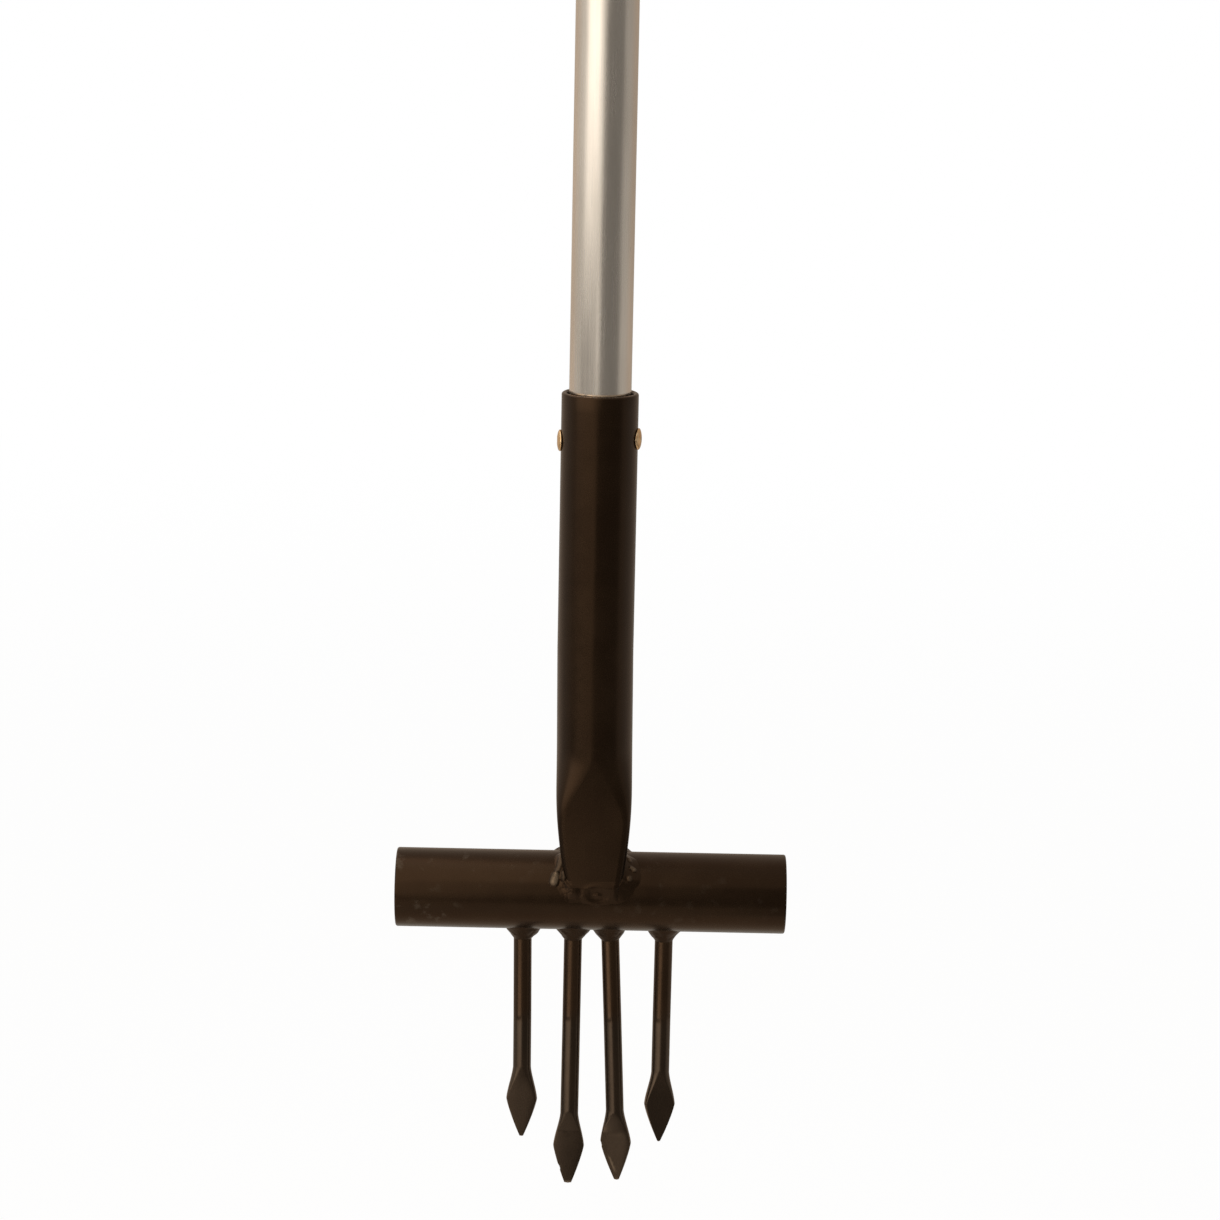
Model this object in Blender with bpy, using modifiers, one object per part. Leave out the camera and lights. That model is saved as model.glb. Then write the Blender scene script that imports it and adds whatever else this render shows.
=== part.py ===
"""Ragwort fork: an aluminium shaft riveted into a steel socket, which is welded over a fulcrum bar
that carries four spear-pointed prongs.

Units are metres. +Z runs up the shaft, +X to the right of someone facing the fork's front, and the
prongs lean to the front, -Y. The origin lies on the shaft's line at the underside of the fulcrum bar,
which is the ground line when the prongs are in the soil.

Every piece hangs on one empty at the bar's axis, so the heights below are measured from that axis.
"""

import math

import bmesh
import bpy
from mathutils import Matrix, Vector

# Gaps between pieces
FIT_GAP = 0.0003
SOCKET_CLEARANCE = 0.00095

# Shaft
SHAFT_DIAMETER = 0.0272
SHAFT_WALL = 0.0020
SHAFT_LENGTH = 0.9500
SHAFT_INSERTION = 0.1140
SHAFT_EDGE_RADIUS = 0.0004

# Hand grip
GRIP_LENGTH = 0.1300
GRIP_WALL = 0.0032
GRIP_END_THICKNESS = 0.0040
GRIP_EDGE_RADIUS = 0.0030
GRIP_COLLAR_HEIGHT = 0.0080
GRIP_COLLAR_RISE = 0.0018
GRIP_COLLAR_FLARE = 0.6
GRIP_GROOVE_COUNT = 4
GRIP_GROOVE_PITCH = 0.0220
GRIP_GROOVE_WIDTH = 0.0050
GRIP_GROOVE_DEPTH = 0.0010
GRIP_FIRST_GROOVE_DROP = 0.0220

# Socket: a round tube squeezed at its foot to straddle the bar
SOCKET_WALL = 0.0023
SOCKET_TOP_HEIGHT = 0.2262
SOCKET_RIM_RADIUS = 0.0009
SQUEEZE_TOP_HEIGHT = 0.0500
SQUEEZE_EASE = 1.8
FOOT_WIDTH = 0.0250
FOOT_CORNER_RADIUS = 0.0038
LIP_HEIGHT = 0.0065
LEAN_TOP_HEIGHT = 0.1100
LEAN_SHIFT = 0.0012

# Fulcrum bar
FULCRUM_DIAMETER = 0.0355
FULCRUM_LENGTH = 0.1747
FULCRUM_WALL = 0.0026
FULCRUM_EDGE_RADIUS = 0.0008

# Prongs: the reach runs from the underside of the bar to the tip
PRONG_DIAMETER = 0.0081
PRONG_KINK_DROP = 0.0425
PRONG_KINK_ANGLE = math.radians(10.0)
PRONG_KINK_RADIUS = 0.0200
PRONG_ROOT_DEPTH = 0.0020
PRONGS = {
    "outer_left": {"root_x": -0.0304, "tip_x": -0.0294, "reach": 0.0965, "tip_width": 0.0014},
    "inner_left": {"root_x": -0.0076, "tip_x": -0.0079, "reach": 0.1172, "tip_width": 0.0029},
    "inner_right": {"root_x": 0.0090, "tip_x": 0.0143, "reach": 0.1154, "tip_width": 0.0018},
    "outer_right": {"root_x": 0.0334, "tip_x": 0.0330, "reach": 0.0977, "tip_width": 0.0009},
}

# Spear points
POINT_WIDTH = 0.0140
POINT_LENGTH = 0.0175
POINT_THICKNESS = 0.0036
POINT_CURVE = 1.25
FLARE_LENGTH = 0.0145
FACET_LENGTH = 0.0080
FACET_RISE = 0.0020
TIP_THICKNESS = 0.0012

# Welds
PRONG_WELD_LEG = 0.0042
PRONG_WELD_HEIGHT = 0.0054
PRONG_WELD_TOE = 0.0006
PRONG_WELD_HOLLOW = 1.15
PRONG_WELD_BLANK_RISE = 0.0044
SOCKET_WELD_RADIUS = 0.0030
SOCKET_WELD_END_RADIUS = 0.0016
SOCKET_WELD_END_LENGTH = 0.0100
SOCKET_WELD_DROP = 0.0022
SOCKET_WELD_SINK = 0.0008
SOCKET_WELD_CORNER = 0.0060

# Rivets
RIVET_DIAMETER = 0.0048
RIVET_HEAD_DIAMETER = 0.0095
RIVET_HEAD_HEIGHT = 0.0015
RIVET_RIM_HEIGHT = 0.0004
RIVET_BORE_DIAMETER = 0.0029
RIVET_BULB_DIAMETER = 0.0066
RIVET_BULB_LENGTH = 0.0028
MANDREL_HEAD_DIAMETER = 0.0042
MANDREL_HEAD_LENGTH = 0.0015
MANDREL_RECESS = 0.0006
DRILL_DEPTH = 0.0100
RIVETS = {
    "left": {"drop": 0.0214, "bearing": math.radians(182.0)},
    "right": {"drop": 0.0198, "bearing": math.radians(-9.0)},
}

# Smoothness of the round shapes: sides round an axis, and steps along a curve
TUBE_SIDES = 40
ROD_SIDES = 20
RIVET_SIDES = 20
GRIP_CURVE_STEPS = 4
FOOT_STEPS = 10
SOCKET_WELD_STEPS = 8
KINK_STEPS = 4
FLARE_STEPS = 8
TAPER_STEPS = 4
PRONG_WELD_STEPS = 4
RIVET_DOME_STEPS = 6
BEVEL_SEGMENTS = 2
BEVEL_ANGLE = math.radians(60.0)
SMOOTH_ANGLE = math.radians(35.0)
MERGE_DISTANCE = 0.00001

# Worked out from the sizes above
SHAFT_RADIUS = SHAFT_DIAMETER / 2
SOCKET_RADIUS = SHAFT_RADIUS + SOCKET_CLEARANCE + SOCKET_WALL
SHAFT_BOTTOM_HEIGHT = SOCKET_TOP_HEIGHT - SHAFT_INSERTION
SHAFT_TOP_HEIGHT = SHAFT_BOTTOM_HEIGHT + SHAFT_LENGTH
FULCRUM_RADIUS = FULCRUM_DIAMETER / 2
BAR_CUT_RADIUS = FULCRUM_RADIUS + FIT_GAP
LIP_REACH = math.sqrt(BAR_CUT_RADIUS**2 - LIP_HEIGHT**2) + SOCKET_WALL
PRONG_RADIUS = PRONG_DIAMETER / 2

# Colours as linear red, green and blue, with metallic and roughness
BLACK_PAINT = ((0.022, 0.017, 0.012), 0.0, 0.40)
DRAWN_ALUMINIUM = ((0.62, 0.58, 0.53), 1.0, 0.34)
GOLD_PLATING = ((0.72, 0.50, 0.29), 1.0, 0.36)
BARE_STEEL = ((0.42, 0.40, 0.37), 1.0, 0.40)
BLACK_RUBBER = ((0.020, 0.020, 0.020), 0.0, 0.70)


def clear_scene():
    for scene_object in list(bpy.data.objects):
        bpy.data.objects.remove(scene_object, do_unlink=True)


def new_collection(name):
    collection = bpy.data.collections.new(name)
    bpy.context.scene.collection.children.link(collection)
    return collection


def blend(start, end, share):
    return start + (end - start) * share


def clamp(value, low, high):
    return max(low, min(high, value))


def principled(name, finish):
    colour, metallic, roughness = finish
    material = bpy.data.materials.new(name)
    material.use_nodes = True
    shader = material.node_tree.nodes["Principled BSDF"]
    shader.inputs["Base Color"].default_value = (*colour, 1.0)
    shader.inputs["Metallic"].default_value = metallic
    shader.inputs["Roughness"].default_value = roughness
    return material


def place(name, mesh, collection, parent, location=(0, 0, 0), rotation=(0, 0, 0)):
    piece = bpy.data.objects.new(name, mesh)
    piece.location = location
    piece.rotation_euler = rotation
    piece.parent = parent
    collection.objects.link(piece)
    return piece


def mesh_from(name, bm):
    mesh = bpy.data.meshes.new(name)
    bm.to_mesh(mesh)
    bm.free()
    return mesh


def cylinder_mesh(name, radius, length, sides, open_ended=False):
    """A cylinder along Z with its middle at the origin."""
    bm = bmesh.new()
    bmesh.ops.create_cone(
        bm, cap_ends=not open_ended, segments=sides, radius1=radius, radius2=radius, depth=length
    )
    return mesh_from(name, bm)


def profile_mesh(name, profile, closed):
    """The outline of a turned shape: radius along X, height along Z."""
    bm = bmesh.new()
    vertices = [bm.verts.new((radius, 0, height)) for radius, height in profile]
    for start, end in zip(vertices, vertices[1:]):
        bm.edges.new((start, end))
    if closed:
        bm.edges.new((vertices[-1], vertices[0]))
    return mesh_from(name, bm)


def loft_mesh(name, rings, capped):
    """Rings of points, joined in order from top to bottom."""
    bm = bmesh.new()
    loops = [[bm.verts.new(point) for point in ring] for ring in rings]
    for upper, lower in zip(loops, loops[1:]):
        for index in range(len(upper)):
            following = (index + 1) % len(upper)
            bm.faces.new((upper[index], lower[index], lower[following], upper[following]))
    if capped:
        bm.faces.new(loops[0])
        bm.faces.new(reversed(loops[-1]))
    bmesh.ops.recalc_face_normals(bm, faces=bm.faces)
    return mesh_from(name, bm)


def add_screw(piece, sides):
    screw = piece.modifiers.new("Turn", "SCREW")
    screw.axis = "Z"
    screw.steps = sides
    screw.render_steps = sides
    screw.use_merge_vertices = True
    screw.merge_threshold = MERGE_DISTANCE


def add_wall(piece, thickness):
    solidify = piece.modifiers.new("Wall", "SOLIDIFY")
    solidify.thickness = thickness
    solidify.offset = -1.0
    solidify.use_even_offset = True


def add_bevel(piece, width):
    bevel = piece.modifiers.new("Rounded edge", "BEVEL")
    bevel.width = width
    bevel.segments = BEVEL_SEGMENTS
    bevel.limit_method = "ANGLE"
    bevel.angle_limit = BEVEL_ANGLE


def cut(piece, *cutters):
    for cutter in cutters:
        boolean = piece.modifiers.new("Cut by " + cutter.name, "BOOLEAN")
        boolean.operation = "DIFFERENCE"
        boolean.solver = "EXACT"
        boolean.object = cutter


def as_cutter(piece):
    piece.hide_render = True
    piece.display_type = "WIRE"
    return piece


def tube_wire(name, points, radii, collection, parent):
    """A round wire along points, with a radius at each, as a mesh piece with closed ends."""
    curve = bpy.data.curves.new(name, "CURVE")
    curve.dimensions = "3D"
    curve.bevel_depth = 1.0
    curve.bevel_resolution = 2
    curve.use_fill_caps = True
    spline = curve.splines.new("POLY")
    spline.points.add(len(points) - 1)
    for spline_point, point, radius in zip(spline.points, points, radii):
        spline_point.co = (*point, 1.0)
        spline_point.radius = radius
    wire = place(name + "_wire", curve, collection, parent)
    bpy.context.view_layer.update()
    mesh = bpy.data.meshes.new_from_object(wire.evaluated_get(bpy.context.evaluated_depsgraph_get()))
    bpy.data.objects.remove(wire, do_unlink=True)
    bm = bmesh.new()
    bm.from_mesh(mesh)
    bmesh.ops.remove_doubles(bm, verts=bm.verts, dist=MERGE_DISTANCE)
    bmesh.ops.recalc_face_normals(bm, faces=bm.faces)
    bm.to_mesh(mesh)
    bm.free()
    return place(name, mesh, collection, parent)


def settle(piece, finish):
    """Give a finished piece its final mesh, its shading and its own material."""
    bpy.context.view_layer.update()
    mesh = bpy.data.meshes.new_from_object(piece.evaluated_get(bpy.context.evaluated_depsgraph_get()))
    piece.modifiers.clear()
    piece.data = mesh
    mesh.materials.clear()
    mesh.materials.append(principled(piece.name, finish))
    mesh.shade_smooth()
    mesh.set_sharp_from_angle(angle=SMOOTH_ANGLE)


def squeeze_at(height):
    """How far the socket is squeezed: 0 where it is round, 1 at the lips."""
    share = (SQUEEZE_TOP_HEIGHT - height) / (SQUEEZE_TOP_HEIGHT - LIP_HEIGHT)
    return clamp(share, 0.0, 1.0) ** SQUEEZE_EASE


def foot_size(height):
    """Half width, half depth and corner radius of the socket's outer outline."""
    squeeze = squeeze_at(height)
    half_width = blend(SOCKET_RADIUS, FOOT_WIDTH / 2, squeeze)
    half_depth = blend(SOCKET_RADIUS, LIP_REACH, squeeze)
    corner = blend(SOCKET_RADIUS, FOOT_CORNER_RADIUS, squeeze)
    return half_width, half_depth, corner


def lean_at(height):
    """Sideways place of the socket's middle, which the welding pulled over at the foot."""
    return LEAN_SHIFT * clamp((LEAN_TOP_HEIGHT - height) / LEAN_TOP_HEIGHT, 0.0, 1.0)


def socket_outline(height, grow=0.0):
    """The socket's outline at a height: a circle that turns into a rounded rectangle."""
    half_width, half_depth, corner = foot_size(height)
    corner_steps = TUBE_SIDES // 4
    outline = []
    for quarter in range(4):
        for step in range(corner_steps):
            angle = (quarter + (step + 0.5) / corner_steps) * math.pi / 2
            side_x = math.copysign(half_width - corner, math.cos(angle))
            side_y = math.copysign(half_depth - corner, math.sin(angle))
            x = side_x + (corner + grow) * math.cos(angle)
            y = side_y + (corner + grow) * math.sin(angle)
            outline.append(Vector((x + lean_at(height), y, height)))
    return outline


def foot_heights(bottom):
    return [blend(SQUEEZE_TOP_HEIGHT, bottom, step / FOOT_STEPS) for step in range(FOOT_STEPS + 1)]


def bar_cutter(cutters, fork):
    """The room that the fulcrum bar takes out of what is welded to it."""
    mesh = cylinder_mesh("bar_room", BAR_CUT_RADIUS, FULCRUM_LENGTH, TUBE_SIDES * 2)
    return as_cutter(place("bar_room", mesh, cutters, fork, rotation=(0, math.pi / 2, 0)))


def rivet_matrix(rivet):
    """Places a rivet drawn along +Z, with the socket's axis at its origin."""
    height = SOCKET_TOP_HEIGHT - rivet["drop"]
    return (0, 0, height), (0, math.pi / 2, rivet["bearing"])


def rivet_hole_cutters(cutters, fork):
    """One drilled hole for each rivet, through the near wall of the socket and of the shaft."""
    holes = []
    for side, rivet in RIVETS.items():
        location, rotation = rivet_matrix(rivet)
        inner = SOCKET_RADIUS - DRILL_DEPTH
        length = DRILL_DEPTH * 2
        bm = bmesh.new()
        bmesh.ops.create_cone(
            bm,
            cap_ends=True,
            segments=RIVET_SIDES,
            radius1=RIVET_DIAMETER / 2 + FIT_GAP,
            radius2=RIVET_DIAMETER / 2 + FIT_GAP,
            depth=length,
            matrix=Matrix.Translation((0, 0, inner + length / 2)),
        )
        hole = place("rivet_hole_" + side, mesh_from("rivet_hole", bm), cutters, fork, location, rotation)
        holes.append(as_cutter(hole))
    return holes


def build_shaft(parts, fork, holes):
    mesh = cylinder_mesh("shaft_tube", SHAFT_RADIUS, SHAFT_LENGTH, TUBE_SIDES, open_ended=True)
    middle = (SHAFT_BOTTOM_HEIGHT + SHAFT_TOP_HEIGHT) / 2
    shaft = place("shaft_tube", mesh, parts, fork, location=(0, 0, middle))
    add_wall(shaft, SHAFT_WALL)
    add_bevel(shaft, SHAFT_EDGE_RADIUS)
    cut(shaft, *holes)
    settle(shaft, DRAWN_ALUMINIUM)


def grip_profile():
    """The grip's outline with the top of the shaft at height 0."""
    bore = SHAFT_RADIUS + FIT_GAP
    outer = bore + GRIP_WALL
    top = FIT_GAP + GRIP_END_THICKNESS
    bottom = top - GRIP_LENGTH
    profile = [(0.0, top)]
    for step in range(GRIP_CURVE_STEPS + 1):
        angle = math.pi / 2 * (1 - step / GRIP_CURVE_STEPS)
        radius = outer - GRIP_EDGE_RADIUS * (1 - math.cos(angle))
        profile.append((radius, top - GRIP_EDGE_RADIUS * (1 - math.sin(angle))))
    for groove in range(GRIP_GROOVE_COUNT):
        middle = top - GRIP_FIRST_GROOVE_DROP - groove * GRIP_GROOVE_PITCH
        for step in range(GRIP_CURVE_STEPS + 1):
            angle = math.pi * step / GRIP_CURVE_STEPS
            height = middle + GRIP_GROOVE_WIDTH / 2 * math.cos(angle)
            profile.append((outer - GRIP_GROOVE_DEPTH * math.sin(angle), height))
    collar = outer + GRIP_COLLAR_RISE
    profile.append((outer, bottom + GRIP_COLLAR_HEIGHT))
    for step in range(GRIP_CURVE_STEPS + 1):
        angle = math.pi / 2 * step / GRIP_CURVE_STEPS
        rise = GRIP_COLLAR_RISE * math.sin(angle)
        fall = GRIP_COLLAR_HEIGHT / 2 * (1 + math.cos(angle) * GRIP_COLLAR_FLARE)
        profile.append((outer + rise, bottom + fall))
    profile.append((collar, bottom))
    profile.append((bore, bottom))
    profile.append((bore, FIT_GAP))
    profile.append((0.0, FIT_GAP))
    return profile


def build_grip(parts, fork):
    mesh = profile_mesh("hand_grip", grip_profile(), closed=False)
    grip = place("hand_grip", mesh, parts, fork, location=(0, 0, SHAFT_TOP_HEIGHT))
    add_screw(grip, TUBE_SIDES)
    settle(grip, BLACK_RUBBER)


def build_socket(parts, fork, bar_room, holes):
    heights = [SOCKET_TOP_HEIGHT, LEAN_TOP_HEIGHT] + foot_heights(LIP_HEIGHT)
    mesh = loft_mesh("socket_tube", [socket_outline(height) for height in heights], capped=False)
    socket = place("socket_tube", mesh, parts, fork)
    add_wall(socket, SOCKET_WALL)
    add_bevel(socket, SOCKET_RIM_RADIUS)
    cut(socket, bar_room, *holes)
    settle(socket, BLACK_PAINT)


def build_bar(parts, fork):
    mesh = cylinder_mesh("fulcrum_bar", FULCRUM_RADIUS, FULCRUM_LENGTH, TUBE_SIDES, open_ended=True)
    bar = place("fulcrum_bar", mesh, parts, fork, rotation=(0, math.pi / 2, 0))
    add_wall(bar, FULCRUM_WALL)
    add_bevel(bar, FULCRUM_EDGE_RADIUS)
    settle(bar, BLACK_PAINT)


def foot_cutter(cutters, fork):
    """The room that the socket's foot takes out of the weld round it."""
    heights = foot_heights(LIP_HEIGHT - FIT_GAP)
    mesh = loft_mesh("foot_room", [socket_outline(height, FIT_GAP) for height in heights], capped=True)
    return as_cutter(place("foot_room", mesh, cutters, fork))


def weld_point(down, inward):
    """A point of the weld's path on the right side of the foot, and the bead's radius there.

    down is measured over the bar's round surface from its top line, and inward from the foot's side.
    """
    angle = down / FULCRUM_RADIUS
    height = FULCRUM_RADIUS * math.cos(angle)
    half_width, _, _ = foot_size(height)
    width = half_width - SOCKET_WELD_SINK - inward
    radius = blend(SOCKET_WELD_END_RADIUS, SOCKET_WELD_RADIUS, clamp(down / SOCKET_WELD_END_LENGTH, 0.0, 1.0))
    return width, FULCRUM_RADIUS * math.sin(angle), height, radius


def weld_run(facing):
    """One weld run: down one side of the foot, along under its lip and up the other side."""
    steps = SOCKET_WELD_STEPS
    lowest = FULCRUM_RADIUS * math.acos((LIP_HEIGHT - SOCKET_WELD_DROP) / FULCRUM_RADIUS)
    corner = SOCKET_WELD_CORNER
    half = [weld_point(blend(FIT_GAP, lowest - corner, step / steps), 0.0) for step in range(steps)]
    for step in range(steps + 1):
        angle = math.pi / 2 * step / steps
        half.append(weld_point(lowest - corner * (1 - math.sin(angle)), corner * (1 - math.cos(angle))))
    right = [Vector((lean_at(height) + width, facing * depth, height)) for width, depth, height, _ in half]
    left = [Vector((lean_at(height) - width, facing * depth, height)) for width, depth, height, _ in half]
    radii = [point[-1] for point in half]
    return right + left[::-1], radii + radii[::-1]


def build_socket_welds(parts, fork, bar_room, foot_room):
    for name, facing in (("socket_weld_front", -1), ("socket_weld_back", 1)):
        points, radii = weld_run(facing)
        weld = tube_wire(name, points, radii, parts, fork)
        cut(weld, bar_room, foot_room)
        settle(weld, BLACK_PAINT)


def prong_x(prong, height):
    """Sideways place of a prong's axis, which leans evenly from root to tip."""
    share = -(height + FULCRUM_RADIUS) / prong["reach"]
    return blend(prong["root_x"], prong["tip_x"], share)


def point_half_width(from_tip, tip_width):
    if from_tip <= POINT_LENGTH:
        taper = (1 - from_tip / POINT_LENGTH) ** POINT_CURVE
        return blend(POINT_WIDTH / 2, tip_width / 2, taper)
    rise = clamp((POINT_LENGTH + FLARE_LENGTH - from_tip) / FLARE_LENGTH, 0.0, 1.0)
    flare = (rise + rise * rise * (3 - 2 * rise)) / 2
    return blend(PRONG_RADIUS, POINT_WIDTH / 2, flare)


def point_half_thickness(from_tip):
    facet_top = POINT_LENGTH + FLARE_LENGTH + FACET_RISE
    facet_bottom = facet_top - FACET_LENGTH
    if from_tip >= facet_bottom:
        share = clamp((facet_top - from_tip) / FACET_LENGTH, 0.0, 1.0)
        return blend(PRONG_RADIUS, POINT_THICKNESS / 2, share)
    return blend(TIP_THICKNESS / 2, POINT_THICKNESS / 2, from_tip / facet_bottom)


def prong_ring(centre, tilt, half_width, half_thickness):
    """A section of a prong: a circle, widened and pressed flat on its front and back."""
    ring = []
    for side in range(ROD_SIDES):
        angle = 2 * math.pi * (side + 0.5) / ROD_SIDES
        across = half_width * math.cos(angle)
        through = clamp(PRONG_RADIUS * math.sin(angle), -half_thickness, half_thickness)
        ring.append(centre + Vector((across, through * math.cos(tilt), -through * math.sin(tilt))))
    return ring


def prong_rings(prong):
    """Sections from the root inside the weld, round the kink and down to the tip."""
    underside = -FULCRUM_RADIUS
    kink_height = underside - PRONG_KINK_DROP
    tangent = PRONG_KINK_RADIUS * math.tan(PRONG_KINK_ANGLE / 2)
    lower_length = (prong["reach"] - PRONG_KINK_DROP) / math.cos(PRONG_KINK_ANGLE)
    rings = []

    def add_ring(depth, height, tilt, half_width, half_thickness):
        centre = Vector((prong_x(prong, height), depth, height))
        rings.append(prong_ring(centre, tilt, half_width, half_thickness))

    add_ring(0.0, underside + PRONG_ROOT_DEPTH, 0.0, PRONG_RADIUS, PRONG_RADIUS)
    for step in range(KINK_STEPS + 1):
        tilt = PRONG_KINK_ANGLE * step / KINK_STEPS
        depth = -PRONG_KINK_RADIUS * (1 - math.cos(tilt))
        height = kink_height + tangent - PRONG_KINK_RADIUS * math.sin(tilt)
        add_ring(depth, height, tilt, PRONG_RADIUS, PRONG_RADIUS)

    facet_top = POINT_LENGTH + FLARE_LENGTH + FACET_RISE
    stations = [blend(facet_top, POINT_LENGTH, step / FLARE_STEPS) for step in range(FLARE_STEPS)]
    stations += [blend(POINT_LENGTH, 0.0, step / TAPER_STEPS) for step in range(TAPER_STEPS + 1)]
    for from_tip in stations:
        along = lower_length - from_tip
        depth = -along * math.sin(PRONG_KINK_ANGLE)
        height = kink_height - along * math.cos(PRONG_KINK_ANGLE)
        half_width = point_half_width(from_tip, prong["tip_width"])
        add_ring(depth, height, PRONG_KINK_ANGLE, half_width, point_half_thickness(from_tip))
    return rings


def build_prong(side, prong, parts, fork, bar_room):
    name = "prong_" + side
    piece = place(name, loft_mesh(name, prong_rings(prong), capped=True), parts, fork)
    cut(piece, bar_room)
    settle(piece, BLACK_PAINT)


def prong_weld_radius(prong):
    """The fillet's leg on the bar, less where a neighbour's fillet stands close."""
    spacings = [abs(other["root_x"] - prong["root_x"]) for other in PRONGS.values() if other is not prong]
    return min(PRONG_RADIUS + PRONG_WELD_LEG, (min(spacings) - FIT_GAP) / 2)


def build_prong_weld(side, prong, parts, cutters, fork, bar_room):
    """A fillet round a prong's root: wide on the bar, a little hollow in its slope."""
    outer = prong_weld_radius(prong)
    inner = PRONG_RADIUS + PRONG_WELD_TOE
    profile = [(0.0, PRONG_WELD_BLANK_RISE), (outer, PRONG_WELD_BLANK_RISE)]
    for step in range(PRONG_WELD_STEPS + 1):
        share = step / PRONG_WELD_STEPS
        drop = PRONG_WELD_HEIGHT * share**PRONG_WELD_HOLLOW
        profile.append((blend(outer, inner, share), -FIT_GAP - drop))
    profile.append((0.0, -FIT_GAP - PRONG_WELD_HEIGHT))
    name = "prong_weld_" + side
    root = (prong["root_x"], 0, -FULCRUM_RADIUS)
    weld = place(name, profile_mesh(name, profile, closed=False), parts, fork, location=root)
    add_screw(weld, ROD_SIDES)

    reach = prong["reach"]
    lean = math.atan2(prong["root_x"] - prong["tip_x"], reach)
    room_mesh = cylinder_mesh("prong_room", PRONG_RADIUS + FIT_GAP, PRONG_KINK_DROP, ROD_SIDES)
    prong_room = as_cutter(place("prong_room_" + side, room_mesh, cutters, fork, root, (0, lean, 0)))
    cut(weld, bar_room, prong_room)
    settle(weld, BLACK_PAINT)


def rivet_profile():
    """A set blind rivet along +Z: domed head outside the socket, bulb inside the shaft."""
    head_seat = SOCKET_RADIUS + FIT_GAP
    head = RIVET_HEAD_DIAMETER / 2
    bore = RIVET_BORE_DIAMETER / 2
    bulb = RIVET_BULB_DIAMETER / 2
    shaft_bore = SHAFT_RADIUS - SHAFT_WALL
    bulb_top = math.sqrt(shaft_bore**2 - bulb**2) - FIT_GAP
    dome_height = RIVET_HEAD_HEIGHT - RIVET_RIM_HEIGHT
    dome_start = math.asin(bore / head)
    profile = []
    for step in range(RIVET_DOME_STEPS + 1):
        angle = blend(dome_start, math.pi / 2, step / RIVET_DOME_STEPS)
        profile.append((head * math.sin(angle), head_seat + RIVET_RIM_HEIGHT + dome_height * math.cos(angle)))
    profile += [
        (head, head_seat),
        (RIVET_DIAMETER / 2, head_seat),
        (RIVET_DIAMETER / 2, bulb_top),
        (bulb, bulb_top),
        (bulb, bulb_top - RIVET_BULB_LENGTH / 2),
        (RIVET_DIAMETER / 2, bulb_top - RIVET_BULB_LENGTH),
        (bore, bulb_top - RIVET_BULB_LENGTH),
    ]
    return profile


def mandrel_profile():
    """The stem left in the rivet's bore, with its head behind the bulb."""
    stem = RIVET_BORE_DIAMETER / 2 - FIT_GAP
    head = MANDREL_HEAD_DIAMETER / 2
    top = SOCKET_RADIUS + FIT_GAP + RIVET_HEAD_HEIGHT - MANDREL_RECESS
    shaft_bore = SHAFT_RADIUS - SHAFT_WALL
    bulb_top = math.sqrt(shaft_bore**2 - (RIVET_BULB_DIAMETER / 2) ** 2) - FIT_GAP
    head_top = bulb_top - RIVET_BULB_LENGTH - FIT_GAP
    return [
        (0.0, top),
        (stem, top),
        (stem, head_top),
        (head, head_top),
        (head, head_top - MANDREL_HEAD_LENGTH / 2),
        (stem, head_top - MANDREL_HEAD_LENGTH),
        (0.0, head_top - MANDREL_HEAD_LENGTH),
    ]


def build_rivet(side, rivet, parts, fork):
    location, rotation = rivet_matrix(rivet)
    body_mesh = profile_mesh("rivet", rivet_profile(), closed=True)
    body = place("rivet_" + side, body_mesh, parts, fork, location, rotation)
    add_screw(body, RIVET_SIDES)
    settle(body, GOLD_PLATING)
    stem_mesh = profile_mesh("rivet_mandrel", mandrel_profile(), closed=False)
    stem = place("rivet_mandrel_" + side, stem_mesh, parts, fork, location, rotation)
    add_screw(stem, RIVET_SIDES)
    settle(stem, BARE_STEEL)


def build_fork():
    clear_scene()
    parts = new_collection("Ragwort fork")
    cutters = new_collection("Cutters")
    fork = bpy.data.objects.new("fulcrum_axis", None)
    fork.location = (0, 0, FULCRUM_RADIUS)
    parts.objects.link(fork)

    bar_room = bar_cutter(cutters, fork)
    foot_room = foot_cutter(cutters, fork)
    holes = rivet_hole_cutters(cutters, fork)

    build_shaft(parts, fork, holes)
    build_grip(parts, fork)
    build_socket(parts, fork, bar_room, holes)
    build_bar(parts, fork)
    build_socket_welds(parts, fork, bar_room, foot_room)
    for side, prong in PRONGS.items():
        build_prong(side, prong, parts, fork, bar_room)
        build_prong_weld(side, prong, parts, cutters, fork, bar_room)
    for side, rivet in RIVETS.items():
        build_rivet(side, rivet, parts, fork)


build_fork()
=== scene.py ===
"""Looks of the ragwort fork: its dressed pieces, their finishes, the studio and the camera.

Units are metres and +Z runs up the shaft. The ground line, height 0, is the underside of the fulcrum bar,
and -Y is the front, where the prongs lean.
"""

import math

import bmesh
import bpy
from mathutils import Matrix, Vector, noise


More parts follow.
